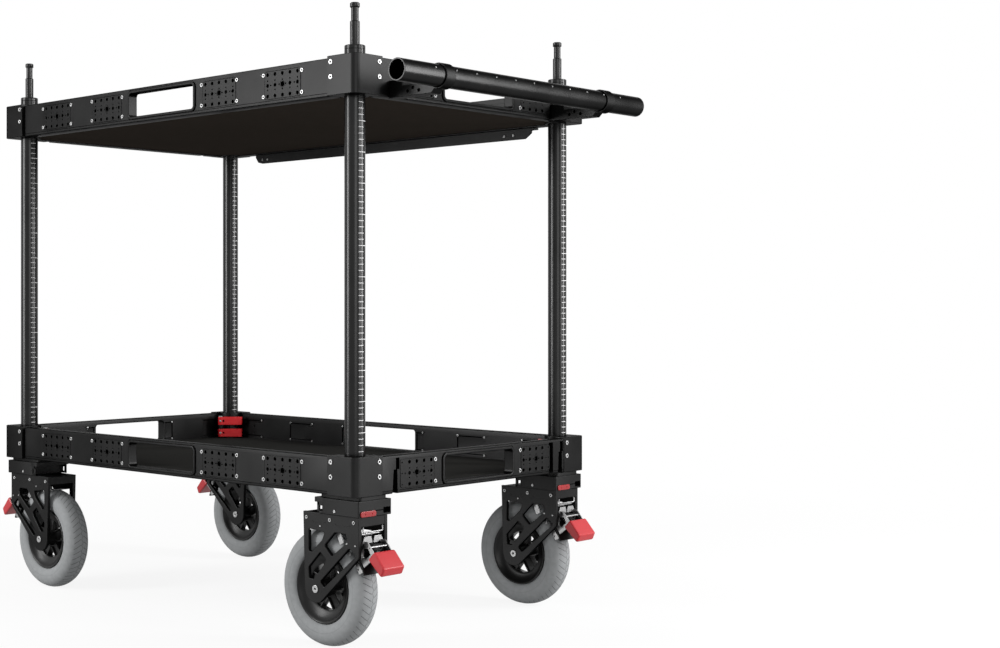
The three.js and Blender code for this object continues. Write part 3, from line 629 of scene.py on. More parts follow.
# Corner blocks, drawn with X and Y running inwards from the outer corner
blockSizes = {
    "size": 63, "height": 64, "corner": 12, "sideArm": 24, "endArm": 19, "post": 36, "collar": 23, "bore": 17.3,
    "slit": 3, "ear": 6.6, "earLow": 28.9, "earHigh": 36.9, "screwReach": 55, "screwHeights": (30, 54),
}
leverSizes = {
    "length": 48, "thickness": 8, "height": 18, "offset": 20, "reach": 28.5, "barrel": 6, "pin": 3, "pinHead": 4.6,
    "end": 3.5, "lower": 10.6, "upper": 37.2, "bolt": 2.5, "boltAt": -0.5, "hole": 2.4, "holeAt": 6.2,
}
diagonal = math.sqrt(0.5)
pinPlace = [blockSizes["post"] + (leverSizes["reach"] + side * leverSizes["offset"]) * diagonal for side in (-1, 1)]


def makeCorner():
    s = blockSizes
    post = s["post"]
    start = math.degrees(math.asin((s["sideArm"] - post) / s["collar"]))
    end = 180 - math.degrees(math.acos((post - s["endArm"]) / s["collar"]))
    outline = roundedPoints([(0, s["size"], 0), (0, 0, s["corner"]), (s["size"], 0, 0)], 0, 12)
    collar = arcPoints(post, post, s["collar"], start, end, 28)
    outline += [(s["size"], s["sideArm"]), *collar, (s["endArm"], s["size"])]
    corner = flatPiece("corner", [outline, circlePoints(post, post, s["bore"], 48)], 0, s["height"], 0.9)
    low, high = (0, -s["slit"] / 2, -clear), (s["collar"] + clear, s["slit"] / 2, s["height"] + clear)
    slit = block("slit", low, high, 0)
    slit.data.transform(at(post, post, 0, 45))
    cut(corner, slit)
    reach = Vector((pinPlace[0] - post, pinPlace[1] - post))
    ear = [*arcPoints(reach.length, 0, s["ear"], -90, 90, 14), (20, s["ear"]), (20, -s["ear"])]
    hole = circlePoints(reach.length, 0, leverSizes["pin"] + 0.3, 20)
    ear = flatPiece("ear", [ear, hole], s["earLow"], s["earHigh"], 0.6)
    ear.data.transform(at(post, post, 0, math.degrees(math.atan2(reach.y, reach.x))))
    return joined("corner", corner, ear)


def makeLevers():
    s = leverSizes
    half = s["thickness"] / 2
    end = roundedPoints([(0, -half, 0), (s["length"], -half), (s["length"], half), (0, half, 0)], s["end"], 6)[1:-1]
    outline = [*arcPoints(0, 0, s["barrel"], 90, 270, 20), (s["barrel"], -half), *end, (s["barrel"], half)]
    bars, holes = [], []
    for z in (s["lower"], s["upper"]):
        bars.append(flatPiece("lever", [outline], z, z + s["height"], 1.0))
        place = (s["holeAt"], 0, z + s["height"] / 2)
        holes.append(rod("lever_hole", s["hole"], -clear, clear, "Y", place, 0.1, 20))
    bars = cut(joined("levers", *bars), joined("lever_holes", *holes))
    bars.data.transform(at(*pinPlace, 0, -45))
    return bars


def makeLeverSteel():
    s = leverSizes
    top = s["upper"] + s["height"]
    parts = [rod("pin", s["pin"], s["lower"] - 0.4, top + 0.6, "Z", steps=20)]
    parts.append(rod("pin_head", s["pinHead"], top - 0.6, top + 1.8, "Z", steps=20))
    for z in (s["lower"], s["upper"]):
        parts.append(rod("bolt_head", s["bolt"], -7.2, 7.2, "Y", (s["boltAt"], 0, z + s["height"] / 2), 0.6, 16))
    steel = joined("lever_steel", *parts)
    steel.data.transform(at(*pinPlace, 0, -45))
    return steel


corner, levers, leverSteel = makeCorner(), makeLevers(), makeLeverSteel()
for level, height in cart["floorToShelf"].items():
    for name, (signX, signY) in corners.items():
        x, y = cart["middle"] + signX * cart["halfLength"], signY * cart["halfWidth"]
        place = at(x, y, height) @ Matrix.Diagonal((-signX, -signY, 1, 1))
        start, shelf, body = f"{level}_{name}_", bodyOfShelf[level], f"{level}_{name}_clamp_levers"
        finish(copyPiece(corner, start + "corner_shell", place), "frame", "frame_black", shelf, start + "corner")
        finish(copyPiece(levers, start + "lever_bars", place), "lever", "lever_red", body, body)
        finish(copyPiece(leverSteel, start + "lever_pin", place), "steel", None, body)
        reach = blockSizes["screwReach"]
        for up in blockSizes["screwHeights"]:
            screwPlaces[level]["block"].append(facing((0, signY, 0), x - signX * reach, y, height + up))
            screwPlaces[level]["block"].append(facing((signX, 0, 0), x, y - signY * reach, height + up))
    for kind, places in screwPlaces[level].items():
        finish(scatter(f"{level}_{kind}_screws", screws[kind], places), "steel", None, bodyOfShelf[level])
drop(corner, levers, leverSteel)
print("corner blocks and levers made")

# Posts with their stepped pins and white scale
postSizes = {
    "inset": 36, "radius": 17, "inner": 14, "bottom": 260.3, "top": 977, "edge": 1.5, "capHeight": 7,
    "shaft": 7.95, "shaftTop": 1016, "neck": 6.2, "neckTop": 1038, "head": 8, "pinTop": 1046,
}
tickSizes = {  # heights, then angles round the post
    "low": 324, "high": 884, "step": 10, "height": 1.2, "proud": 0.06, "start": -24.5, "short": 8, "long": 50,
    "firstLong": 3, "every": 5,
}


def makePost():
    s = postSizes
    r, inner, bottom, top, edge = s["radius"], s["inner"], s["bottom"], s["top"], s["edge"]
    cap = top - s["capHeight"]
    shaft, neck, head = s["shaft"], s["neck"], s["head"]
    shaftTop, neckTop, pinTop = s["shaftTop"], s["neckTop"], s["pinTop"]
    return turnedPiece("post", [
        (0, top - 12), (inner, top - 12), (inner, bottom), (r - 0.5, bottom), (r, bottom + 0.5),
        (r, cap - 0.4), (r - 0.4, cap), (r - 0.4, cap + 0.4), (r, cap + 0.8),
        (r, top - edge), (r - edge * 0.3, top - edge * 0.3), (r - edge, top),
        (shaft + 1.2, top), (shaft + 0.3, top + 0.4), (shaft, top + 1.2),
        (shaft, shaftTop - 0.6), (shaft - 0.6, shaftTop), (neck, shaftTop + 0.8),
        (neck, neckTop - 0.4), (head - 0.4, neckTop + 0.4), (head, neckTop + 1),
        (head, pinTop - 1.4), (head - 1.4, pinTop), (0, pinTop),
    ], steps=64)


def makeScale():
    ticks = []
    s, r = tickSizes, postSizes["radius"]
    count = round((s["high"] - s["low"]) / s["step"]) + 1
    short, long = (s["start"], s["short"], 0, 1), (s["short"], s["long"], s["firstLong"], s["every"])
    for low, high, first, every in (short, long):
        outline = arcPoints(0, 0, r + s["proud"], low, high, 6) + arcPoints(0, 0, r - 0.3, high, low, 6)
        z = s["low"] + first * s["step"]
        tick = flatPiece("ticks", [outline], z, z + s["height"], 0)
        modify(
            tick, "ARRAY", count=math.ceil((count - first) / every), use_relative_offset=False,
            use_constant_offset=True, constant_offset_displace=(0, 0, every * s["step"] * mm),
        )
        ticks.append(tick)
    return joined("scale", *ticks)


post, scale = makePost(), makeScale()
for name, (signX, signY) in corners.items():
    inset = postSizes["inset"]
    place = at(cart["middle"] + signX * (cart["halfLength"] - inset), signY * (cart["halfWidth"] - inset))
    finish(copyPiece(post, name + "_post_tube", place), "post", "post_black", "frame", name + "_post")
    finish(copyPiece(scale, name + "_post_scale", place), "paint", None, "frame")
drop(post, scale)
print("posts made")

# Push handle
handleSizes = {
    "x": cart["middle"] + 594, "height": 919, "half": 321.5, "radius": 17.8, "wall": 2.4, "bore": 18.1, "ring": 20.4,
    "arms": (-216, 216), "armHalf": 11, "foot": cart["middle"] + 491.3, "low": 893, "high": 911,
    "footLength": 29, "footHigh": 921, "hole": 2.6, "holes": ((0.42, 0.45), (0.54, 0.7), (0.68, 0.4)),
    "dots": 11, "dotStep": 49.7, "dotAngle": 28.5,
}


def makeHandle():
    s = handleSizes
    r, inner, half = s["radius"], s["radius"] - s["wall"], s["half"]
    tube = turnedPiece("handle_cross_tube", [
        (inner, -half + 0.5), (inner + 0.5, -half), (r - 0.6, -half), (r, -half + 0.6),
        (r, half - 0.6), (r - 0.6, half), (inner + 0.5, half), (inner, half - 0.5),
    ], "Y", (s["x"], 0, s["height"]), 72)
    angle = math.radians(s["dotAngle"])
    normal = Vector((math.cos(angle), 0, math.sin(angle)))
    x, z = s["x"] + normal.x * s["radius"], s["height"] + normal.z * s["radius"]
    places = [facing(normal, x, (i - (s["dots"] - 1) / 2) * s["dotStep"], z) for i in range(s["dots"])]
    return tube, scatter("handle_dots", screws["button"], places)


def makeArm():
    s = handleSizes
    x, z = s["x"], s["height"]
    barTop = 180 + math.degrees(math.asin((z - s["high"]) / s["ring"]))
    outline = [
        (s["foot"], s["low"]), (x - 13, s["low"]),
        *arcPoints(x, z, s["ring"], 252, 269.6, 6), *arcPoints(x, z, s["bore"], 269.5, 90.5, 36),
        *arcPoints(x, z, s["ring"], 90.4, barTop, 24), (s["foot"] + s["footLength"], s["high"]),
        (s["foot"] + s["footLength"], s["footHigh"]), (s["foot"], s["footHigh"]),
    ]
    length, height = x - s["bore"] / 2 - s["foot"], s["high"] - s["low"]
    holes = [circlePoints(s["foot"] + a * length, s["low"] + u * height, s["hole"], 18) for a, u in s["holes"]]
    return flatPiece("arm", [outline, *holes], -s["armHalf"], s["armHalf"], 0.8, "Y")


def makeClampCap():
    s = handleSizes
    x, z = s["x"], s["height"]
    outline = [*arcPoints(x, z, s["ring"], -89.5, 89.5, 36), *arcPoints(x, z, s["bore"], 89.4, -89.4, 36)]
    return flatPiece("cap", [outline], -s["armHalf"], s["armHalf"], 0.8, "Y")


tube, dots = makeHandle()
finish(tube, "tube", "post_black", "upper_shelf", "handle_tube")
finish(dots, "zinc", None, "upper_shelf")
arm, clampCap = makeArm(), makeClampCap()
for start, y in zip(("handle_front_", "handle_rear_"), handleSizes["arms"]):
    bar, cap = copyPiece(arm, start + "arm_bar", at(y=y)), copyPiece(clampCap, start + "cap_half", at(y=y))
    finish(bar, "frame", "frame_black", "upper_shelf", start + "arm")
    finish(cap, "frame", "frame_black", "upper_shelf", start + "clamp_cap")
drop(arm, clampCap)

# Accessory rail under the rear long rail
angleSizes = {  # both ends are given inwards from the end and down from the top
    "x": cart["middle"] + 3, "half": 388.5, "top": 894.7, "wall": 3.5, "front": 283, "depth": 15,
    "farEnd": ((0, 0), (0, 6), (8, 17), (21, 20), (60, 20)),
    "nearEnd": ((60, 20), (21, 20), (12, 14), (6, 9.5), (6, 6), (0, 3.5), (0, 0)),
    "screws": (-366, -350, 318, 340), "screwHeight": 883,
}


def makeAngle():
    s = angleSizes
    half, top, front = s["half"], s["top"], s["front"]
    outline = [(-half + x, top - z) for x, z in s["farEnd"]] + [(half - x, top - z) for x, z in s["nearEnd"]]
    outline = [(s["x"] + x, z) for x, z in roundedPoints(outline, 1.5, 3)]
    web = flatPiece("web", [outline], front, front + s["wall"], 0.5, "Y")
    low, high = (s["x"] - half, front + 0.4, top - s["wall"]), (s["x"] + half, front + s["depth"], top)
    return joined("accessory_angle", web, block("flange", low, high, 0.5))


finish(makeAngle(), "frame", "frame_black", "upper_shelf", "accessory_rail")
places = [
    facing((0, -1, 0), angleSizes["x"] + x, angleSizes["front"], angleSizes["screwHeight"])
    for x in angleSizes["screws"]
]
finish(scatter("accessory_angle_screws", screws["small"], places), "steel", None, "upper_shelf")
print("push handle and accessory rail made")

# Casters, drawn with the swivel axis at X = Y = 0 and the pedal looking along +X
swivelPlaces = {
    name: at(cart["middle"] + signX * 451, signY * 259, 0, 0 if signX > 0 else 180)
    for name, (signX, signY) in corners.items()
}
mountSizes = {
    "front": 39.5, "rear": 44, "rearCorner": 3.5, "half": 38.5, "low": 222, "shoulder": 247.5, "top": 253.7,
    "inset": (3, 8), "flangeLow": 240, "flangeRear": 60, "bush": 3.4, "screw": (-14, 228),
    "slot": (-1, 19, 229.9, 231.5), "notch": (19, 35.6, 225.2, 234.8),  # along Y, then heights
    "lug": {"rear": 54.5, "front": 48.8, "inner": 35, "outer": 38, "foot": 226, "bridge": 234.7},
}
knobSizes = {
    "start": -35, "width": 35.5, "low": 222.4, "high": 231.6, "back": 39.6, "proud": 2.4, "corner": 3.6,
    "stem": (8, 16), "stemBack": 28, "stemHeight": (230.1, 231.3),
    "dimple": 1.3, "dimples": (-8, 8), "dimpleHeight": 227,
}
forkSizes = {
    "front": 35.4, "half": 33.6, "plate": 7, "crown": 16, "top": 221.7, "frontLow": 157, "boss": 24, "trail": 62,
    "bossAt": (-63.5, 98), "rearTop": -91.2, "axle": 97, "axleRadius": 6, "axleHead": 6.4, "kingpin": 12,
    "windowRadius": 3, "screws": ((-83, 212.4), (-29.5, 212.4), (24, 212.4)),
    "dots": ((9.2, 178), (27.8, 176.2), (-51.6, 200.6)), "dot": (1.6, 0.6),
    "lines": ((-70, -39), (-18, 17)), "lineHeight": 205,
    "rods": ((-74.5, 193.5, 1.6), (9.2, 178, 1.5), (27.8, 176.2, 1.5), (27, 193, 1.9)),  # place and radius
    "links": (((-21, 194.5), (-12, 174.5), 9.5), ((0.5, 168.5), (6.5, 157.5), 5)), "linkHalf": (22, 24),
    "arm": ((22, 176), (30, 184), (58, 167), (52, 159)), "armHalf": (13.5, 16),
    "dark": ((14, 184), (20, 190), (40, 172), (36, 164)), "darkHalf": 17,
    "ear": ((4, 190), (19, 190), (25, 179), (0.6, 179)), "earAt": (33.4, 35),
    "stirrup": ((34, 22.6, 205), (34.5, 22.6, 198.4), (34.6, 21.2, 197)), "wire": 1.2,
}
forkWindows = [
    [(-78.5, 194.5), (-41.5, 191), (-48, 178), (-72.5, 156.3), (-78.5, 158)],
    [(-19, 193), (5.6, 193), (9, 186.7), (5, 177), (-25.7, 154), (-42.5, 169.8)],
    [(-79, 131), (-52, 158.5), (-38.5, 148), (-41.5, 141), (-67, 112.5), (-77.5, 113)],
    [(13.7, 171), (29, 160), (-43, 101.5), (-52.4, 110)],
]
axleCentre = (-forkSizes["trail"], forkSizes["axle"])


def makeMount():
    s, lug = mountSizes, mountSizes["lug"]
    rear, front, half, low = s["rear"], s["front"], s["half"], s["low"]
    body = [(-rear, -half, s["rearCorner"]), (front, -half), (front, half), (-rear, half, s["rearCorner"])]
    mount = flatPiece("mount", [roundedPoints(body, 2, 6)], low, s["shoulder"], 0.7)
    for y0, y1, z0, z1 in (s["slot"], s["notch"]):
        cut(mount, block("slot", (front - 12, y0, z0), (front + 5, y1, z1), 0))
    insetX, insetY = s["inset"]
    neck = boxPoints(6 - s["flangeRear"], insetY - half, front - insetX, half - insetY)
    flange = boxPoints(-s["flangeRear"], -half, 4 - rear, half)
    parts = [mount, flatPiece("neck", [roundedPoints(neck, 4, 5)], s["shoulder"] - 4, s["top"], 0.5)]
    flange = [roundedPoints(flange, 1.5, 4)]
    parts.append(flatPiece("flange", flange, s["flangeLow"], s["shoulder"] + 0.6, 0.7))
    top = s["flangeLow"] + 1
    for side in (-1, 1):
        start, end = sorted((side * lug["inner"], side * lug["outer"]))
        parts.append(block("lug_foot", (-lug["rear"], start, low), (3 - rear, end, lug["foot"]), 0.7))
        parts.append(block("lug", (-lug["rear"], start, low + 0.2), (-lug["front"], end, top), 0.9))
        parts.append(block("lug_bridge", (-lug["rear"], start, lug["bridge"]), (3 - rear, end, top), 0.7))
        parts.append(rod("bush", s["bush"], -1.4, 1.4, "Z", steps=18))
        parts[-1].data.transform(facing((0, side, 0), 1.5 - rear, side * (half - 1.6), s["flangeLow"]))
    return joined("mount", *parts)


def makeKnob():
    s = knobSizes
    back, proud, middle = s["back"], s["proud"], s["start"] + s["width"] / 2
    outline = boxPoints(s["start"], s["low"], s["start"] + s["width"], s["high"])
    knob = flatPiece("knob", [roundedPoints(outline, s["corner"], 8)], back, back + proud, 0.9, "X")
    (start, end), (low, high) = s["stem"], s["stemHeight"]
    stem = block("stem", (s["stemBack"], middle + start, low), (back + 1, middle + end, high), 0.2)
    dimples = []
    for y in s["dimples"]:
        place = (back, middle + y, s["dimpleHeight"])
        dimples.append(rod("dimple", s["dimple"], proud - 0.6, proud + 2, "X", place, 0, 14))
    return joined("knob", cut(knob, joined("dimples", *dimples)), stem)


def makeFork():  # the fork, then the arms that carry the pedal and a block across them, both finished near black as painted shade inside the fork
    s = forkSizes
    half, top, rear, front, frontLow = s["half"], s["top"], s["rearTop"], s["front"], s["frontLow"]
    inside = half - s["plate"]
    bossX, bossZ = s["bossAt"]
    rise, run = frontLow - bossZ, front - bossX
    tangent = math.degrees(math.atan2(rise, run) - math.acos(s["boss"] / math.hypot(rise, run)))
    outline = [(rear, top), *arcPoints(bossX, bossZ, s["boss"], -178, tangent, 28)]
    outline += roundedPoints([(0, frontLow - 30, 0), (front, frontLow, 6), (front, top, 0)], 6, 5)[1:]
    windows = [roundedPoints(window, s["windowRadius"], 4) for window in forkWindows]
    plates, arms = [], []
    for side in (-1, 1):
        plate = sidePlate("plate", [outline, *windows], side, inside, half, 0.9)
        lines = []  # shallow engraved lines over the joints of the crown
        for start, end in s["lines"]:
            z = s["lineHeight"]
            trough = [(start, z + 3), (start + 3, z), (end - 3, z), (end, z + 3)]
            trough += [(x, y + 0.8) for x, y in reversed(trough)]
            lines.append(sidePlate("line", [trough], side, half - 0.5, half + 4, 0))
        plates.append(cut(plate, joined("lines", *lines)))
        arms.append(sidePlate("arm", [roundedPoints(s["arm"], 2.5, 4)], side, *s["armHalf"], 0.5))
    low, high = (rear + 0.6, -inside - 1, top - s["crown"]), (front - 0.6, inside + 1, top - 0.3)
    crown = block("crown", low, high, 1.0)
    kingpin = rod("kingpin", s["kingpin"], top - 10, top + 18, "Z", steps=32)
    # a near-black block across the arms that stands for the shade inside the fork
    dark = flatPiece("painted_shade_sheet", [roundedPoints(s["dark"], 1.5, 3)], -s["darkHalf"], s["darkHalf"], 0.5, "Y")
    return joined("fork", *plates, crown, kingpin), joined("brake_arms", *arms, dark)


def onFork(side, x, z):  # looks outwards from a plate of the fork
    return facing((0, side, 0), x, side * forkSizes["half"], z)


def makeForkSteel():  # the dull parts, then the bright ones
    s = forkSizes
    dotRadius, dotProud = s["dot"]
    parts, bright = [], []
    for side in (-1, 1):
        bright.append(scatter("fork_screws", screws["fork"], [onFork(side, x, z) for x, z in s["screws"]]))
        dot = rod("dot", dotRadius, -0.5, 0.5 + dotProud, "Z", steps=14)
        parts.append(scatter("dots", dot, [onFork(side, x, z) for x, z in s["dots"]]))
        drop(dot)
        head = flatPiece("head", [circlePoints(0, 0, s["axleHead"], 32), circlePoints(0, 0, 2, 12)], -1, 1.8, 0.6)
        head.data.transform(onFork(side, *axleCentre))
        bright.append(head)
        for start, end, width in s["links"]:
            start, end = Vector(start), Vector(end)
            across = (end - start).normalized().orthogonal() * width / 2
            link = [tuple(point) for point in (start + across, start - across, end - across, end + across)]
            parts.append(sidePlate("link", [roundedPoints(link, 1.2, 3)], side, *s["linkHalf"], 0.3))
        ear = [(side * y, z) for y, z in s["ear"]]
        parts.append(flatPiece("ear", [roundedPoints(ear, 1.2, 3)], *s["earAt"], 0.3, "X"))
    reach = s["half"] - 1
    for x, z, radius in s["rods"]:
        parts.append(rod("cross_rod", radius, -reach, reach, "Y", (x, 0, z), 0.2, 16))
    parts.append(rod("axle", s["axleRadius"], -reach, reach, "Y", (axleCentre[0], 0, axleCentre[1]), 0.2, 24))
    wire = [(x, -y, z) for x, y, z in s["stirrup"]] + [*reversed(s["stirrup"])]
    parts.append(bentWire("stirrup", wire, s["wire"]))
    return joined("fork_steel", *parts), joined("fork_screws", *bright)


# Wheels, with the axle at X = Z = 0
wheelSizes = {
    "radius": 97, "tyreHalf": 23.5, "rim": 57.5, "dishInner": 38, "hubHole": 6.5, "hub": 15.4, "web": 3.6,
    "spokes": 5, "spokeAt": 16, "spokeWidth": 20, "windowOuter": 37.6, "windowInner": 18.6, "rib": 2.6, "ribDepth": 7,
    "lip": (  # from the seat of the tyre over the lip and down into the dish: radius, distance from the middle
        (57.5, 12), (57.6, 16), (59.2, 17.8), (59.0, 19.2), (57.6, 19.7), (56.0, 19.0), (54.2, 16.9), (51.6, 14.2),
        (48.6, 12.0), (45.4, 10.4), (42.2, 9.3), (39.4, 8.6), (38, 7.4), (37.5, 4),
    ),
    "tyreSection": (  # shares of the tyre's height and half width
        (0, 0.62), (0.045, 0.72), (0.1, 0.83), (0.16, 0.9), (0.3, 0.975), (0.45, 1.0), (0.6, 0.975), (0.72, 0.905),
        (0.82, 0.79), (0.9, 0.63), (0.955, 0.44), (0.988, 0.23), (1, 0),
    ),
}


def makeRim():
    s = wheelSizes
    side = list(s["lip"])
    barrel = turnedPiece("barrel", side + [(r, -y) for r, y in reversed(side)], "Y", steps=96)
    share, halfSpoke = 180 / s["spokes"], s["spokeWidth"] / 2
    outer = share - math.degrees(math.asin(halfSpoke / s["windowOuter"]))
    inner = share - math.degrees(math.asin(halfSpoke / s["windowInner"]))
    low = (s["windowInner"] - 4, -s["ribDepth"], -s["rib"] / 2)
    high = (s["dishInner"] + 3, s["ribDepth"], s["rib"] / 2)
    windows, ribs = [], []
    for i in range(s["spokes"]):
        spoke = s["spokeAt"] + 360 * i / s["spokes"]
        middle = spoke + share
        window = arcPoints(0, 0, s["windowOuter"], middle - outer, middle + outer, 8)
        window += arcPoints(0, 0, s["windowInner"], middle + inner, middle - inner, 2)
        windows.append(window)
        for offset in (-1, 1):  # two ribs stand on each spoke, along its edges
            rib = block("rib", low, high, 0.8)
            rib.data.transform(at(0, 0, offset * (s["spokeWidth"] - s["rib"]) / 2))
            rib.data.transform(Matrix.Rotation(math.radians(-spoke), 4, "Y"))
            ribs.append(rib)
    web = flatPiece("web", [circlePoints(0, 0, s["dishInner"] + 1.5, 72), *windows], -s["web"], s["web"], 0.8, "Y")
    hole, hub = s["hubHole"], s["hub"]
    hub = turnedPiece("hub", [
        (hole, -24), (hub - 2, -24), (hub - 1.2, -23.2), (hub, -8),
        (hub, 8), (hub - 1.2, 23.2), (hub - 2, 24), (hole, 24),
    ], "Y", steps=48)
    return joined("rim", barrel, web, hub, *ribs)


def makeTyre():
    s = wheelSizes
    half, seat, depth = s["tyreHalf"], s["rim"] + 0.3, s["radius"] - s["rim"] - 0.3
    side = [(seat + share * depth, width * half) for share, width in s["tyreSection"]]
    tyre = turnedPiece("tyre", [(r, -y) for r, y in side] + side[-2::-1], "Y", steps=144)
    side.reverse()
    lengths = [0]  # along the section from the middle of the tread, in halves of the tyre's width
    for one, other in zip(side, side[1:]):
        lengths.append(lengths[-1] + math.dist(one, other) / half)
    mesh = tyre.data
    wrap = mesh.uv_layers.new(name="wrap")
    for polygon in mesh.polygons:
        places = {}
        for loop in polygon.loop_indices:
            x, y, z = mesh.vertices[mesh.loops[loop].vertex_index].co / mm
            place = (math.hypot(x, z), abs(y))
            nearest = min(range(len(side)), key=lambda k: math.dist(side[k], place))
            places[loop] = (math.atan2(z, x) / math.tau, math.copysign(lengths[nearest], y))
        turns = [around for around, across in places.values()]
        for loop, (around, across) in places.items():
            if max(turns) - min(turns) > 0.5 and around < 0:
                around += 1
            wrap.data[loop].uv = (around, across)
    return tyre


# Brake: a capped pedal, a steel channel on the pin and a curved saddle over the tyre
brakeSizes = {
    "pedal": ((59.4, 169.8), (81.8, 144.2), (75.2, 129), (46, 155.4)), "half": 24.2, "flare": 0.02, "edge": 2.8,
    "saddle": (103, 105.5, 18, 38), "saddleHalf": 23.8,  # inner and outer radius round the axle, then angles
    "flange": ((16.3, 150.2), (21.5, 151.5), (35.7, 134), (26.6, 129)), "flangeHole": (24.3, 136.8, 1.8),
    "flangeWall": 2,
    "yoke": ((-12, 178), (-12, 170), (28, 159), (28, 167), (8, 178)), "yokeHole": (6, 171.5, 2.6), "yokeAt": 44.5,
    "cheek": ((23.9, 180.9), (27.8, 183.2), (43.3, 182.9), (57, 166), (54, 156)), "cheekEnd": (23.9, 158),
    "cheekBow": (104.5, 24, 34), "cheekWall": 2, "cheekHalf": 21.5,
    "room": ((34, 172), (44, 172), (51, 161), (43, 153), (33, 157)),
    "rods": ((27.8, 176.2, 2.4), (46, 174, 2)), "bridge": ((52, 166), (57, 161), (40, 150), (37, 154)),
}


def makePedal():
    s = brakeSizes
    pedal = flatPiece("pedal", [roundedPoints(s["pedal"], 3.5, 6)], -s["half"], s["half"], s["edge"], "Y")
    start, end = s["pedal"][0][0] - 10, s["pedal"][1][0]
    for vertex in pedal.data.vertices:  # the cap is a little wider at its outer end
        vertex.co.y *= 1 + s["flare"] * (vertex.co.x / mm - start) / (end - start)
    return pedal


def makeBrakeSteel():  # the dull parts, then the black ones
    s = brakeSizes
    inner, outer, start, end = s["saddle"]
    bow = arcPoints(*axleCentre, outer, start, end, 14) + arcPoints(*axleCentre, inner, end, start, 14)
    saddle = flatPiece("saddle", [bow], -s["saddleHalf"], s["saddleHalf"], 0.5, "Y")
    yoke = [roundedPoints(s["yoke"], 2, 4), circlePoints(*s["yokeHole"], 18)]
    yoke = flatPiece("yoke", yoke, s["yokeAt"], s["yokeAt"] + 1.6, 0.4, "X")
    flange = [roundedPoints(s["flange"], 2, 4), circlePoints(*s["flangeHole"], 14)]
    cheek = [*s["cheek"], *arcPoints(*axleCentre, *s["cheekBow"], 1), s["cheekEnd"]]
    cheek = [roundedPoints(cheek, 2.5, 4), roundedPoints(s["room"], 2.5, 4)]
    parts = []
    for side in (-1, 1):
        parts.append(sidePlate("flange", flange, side, s["saddleHalf"], s["saddleHalf"] - s["flangeWall"], 0.4))
        parts.append(sidePlate("cheek", cheek, side, s["cheekHalf"], s["cheekHalf"] - s["cheekWall"], 0.4))
    reach = s["cheekHalf"] + 0.8
    for x, z, radius in s["rods"]:
        parts.append(rod("cross_rod", radius, -reach, reach, "Y", (x, 0, z), 0.3, 18))
    reach = s["cheekHalf"] - 1
    parts.append(flatPiece("bridge", [roundedPoints(s["bridge"], 1, 2)], -reach, reach, 0.4, "Y"))
    return joined("brake_steel", *parts), joined("brake_dark", saddle, yoke)


mount, knob, rim, tyre, pedal = makeMount(), makeKnob(), makeRim(), makeTyre(), makePedal()
(fork, brakeArms), (forkSteel, forkScrews), (brakeSteel, brakeDark) = makeFork(), makeForkSteel(), makeBrakeSteel()
x, z = mountSizes["screw"]
places = [facing((0, side, 0), x, side * mountSizes["half"], z) for side in (-1, 1)]
mountScrews = scatter("mount_screws", screws["dot"], places)
casterPieces = (  # piece, its name, finish, slot, body, the CAD node that it replaces
    (mount, "mount_block", "caster", "caster_black", "frame", "caster_mount"),
    (mountScrews, "mount_screws", "steel", None, "frame"),
    (knob, "lock_knob", "tab", "lever_red", "lock", "swivel_lock"),
    (fork, "fork_frame", "caster", "caster_black", "caster", "fork"),
    (forkSteel, "fork_steel", "zinc", None, "caster"),
    (forkScrews, "fork_screws", "steel", None, "caster"),
    # the brake arms and the block across them take the near-black painted shade
    (brakeArms, "brake_arms", "dark", None, "caster"),
    (rim, "rim_wheel", "rim", "rim_black", "wheel", "rim"),
    (tyre, "tyre_tread", "tyre", "tyre", "wheel", "tyre"),
    (pedal, "pedal_cap", "pedal", "pedal_red", "brake", "brake_pedal"),
    (brakeSteel, "brake_steel", "zinc", None, "brake"),
    (brakeDark, "brake_saddle", "caster", None, "brake"),
)
for corner, place in swivelPlaces.items():
    wheelPlace = place @ at(axleCentre[0], 0, axleCentre[1])
    for source, name, look, slot, body, *replaced in casterPieces:
        piece = copyPiece(source, f"{corner}_{name}", wheelPlace if body == "wheel" else place)
        body = body if body == "frame" else f"{corner}_{body}"
        finish(piece, look, slot, body, *[f"{corner}_{node}" for node in replaced])
drop(*[source for source, *_ in casterPieces], *screws.values())
print("casters made")

# Camera, lamps, world and floor
view = {
    "lens": 56.547, "sensor": 36, "shift": (0.16303, -0.01795), "place": (2.2110, -2.0888, 0.5577), "turn": 44.63,
}
cameraData = bpy.data.cameras.new("camera")
cameraData.lens, cameraData.sensor_width = view["lens"], view["sensor"]
cameraData.shift_x, cameraData.shift_y = view["shift"]
camera = newObject("camera", cameraData)
camera.location = Vector(view["place"]) + Vector((cart["middle"] * mm, 0, 0))
camera.rotation_euler = (math.radians(90), 0, math.radians(view["turn"]))
bpy.context.scene.camera = camera

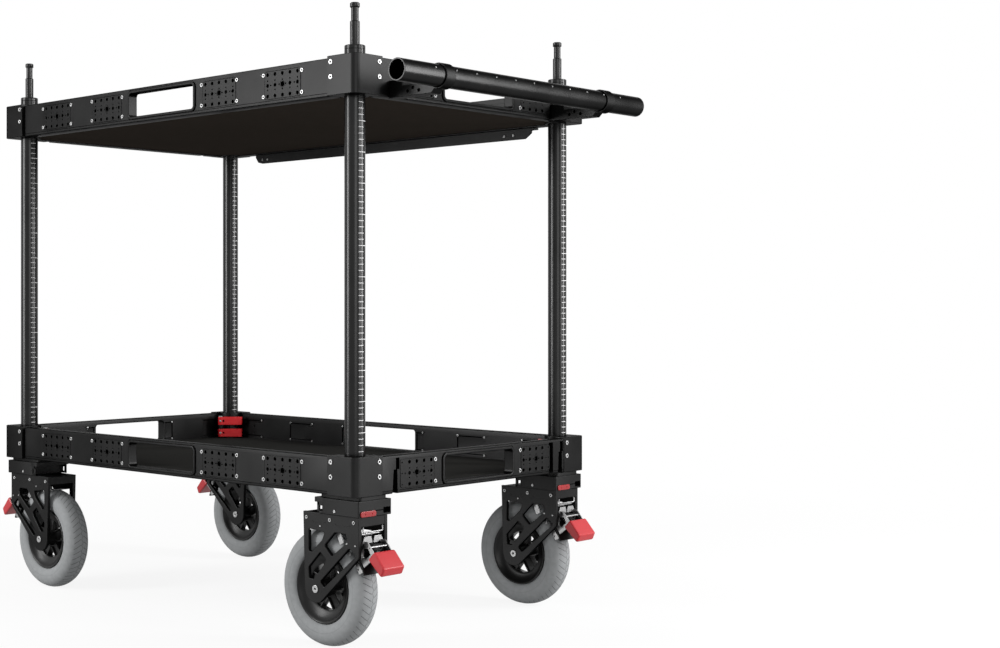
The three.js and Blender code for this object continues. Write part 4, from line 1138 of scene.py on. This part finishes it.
lamps = {  # azimuth, distance, height of the middle, width, tallness, power: upright soft boxes round the cart
    "right": (33, 3.2, 1.55, 0.6, 2.7, 122),
    "left": (-120, 3.3, 1.6, 0.8, 2.8, 120),
    "middle": (6, 3.55, 1.5, 0.9, 2.5, 50),
    "fill": (-35, 3.5, 1.5, 1.1, 2.4, 25),
}
for name, (azimuth, distance, height, width, tallness, power) in lamps.items():
    lamp = bpy.data.lights.new(name, "AREA")
    lamp.shape, lamp.size, lamp.size_y, lamp.energy = "RECTANGLE", width, tallness, power
    holder = newObject(name, lamp)
    angle = math.radians(azimuth)
    holder.location = (distance * math.cos(angle), distance * math.sin(angle), height)
    holder.rotation_euler = (math.radians(90), 0, angle + math.radians(90))

studio = {"fill": 0.45, "floor": 24, "near": 0.88, "fadeStart": 0.9, "fadeLength": 1.3, "lit": 0.86, "bounce": 0.35}
world = Finish("studio", "worlds", "Background")
bpy.context.scene.world = world.feed(color=(1, 1, 1, 1), strength=studio["fill"] + world.seen() * (1 - studio["fill"]))

deselectAll()
bpy.ops.mesh.primitive_plane_add(size=studio["floor"], location=(0, 0, 0))
floor = bpy.context.object
floor.name = "floor"
sweep = Finish("floor_white")  # white as it is looked at, a plain grey for the light that it throws back
seen = sweep.seen()
place = sweep.node("ShaderNodeTexCoord", output="Object")
away = sweep.node("ShaderNodeVectorMath", {"operation": "LENGTH"}, {0: place}, "Value")
fade = ((away - studio["fadeStart"]) / studio["fadeLength"]).math("MAXIMUM", 0).math("MINIMUM", 1)
glow = sweep.node("ShaderNodeEmission", inputs={"Color": (1, 1, 1, 1), "Strength": 1.0})
grey, white = (*[studio["bounce"]] * 3, 1), (*[studio["lit"]] * 3, 1)
sweep.feed(colour=sweep.blend(seen, grey, white), roughness=0.9, gloss=0.0)
share = seen * (studio["near"] + fade * (1 - studio["near"]))
mixed = sweep.node("ShaderNodeMixShader", inputs={0: share, 1: Flow(sweep, sweep.shader.outputs[0]), 2: glow})
sweep.tree.links.new(mixed.socket, sweep.tree.nodes["Material Output"].inputs["Surface"])
floor.data.materials.append(sweep.owner)
bpy.context.scene.view_settings.view_transform = "Standard"
print("camera, lamps and floor set")
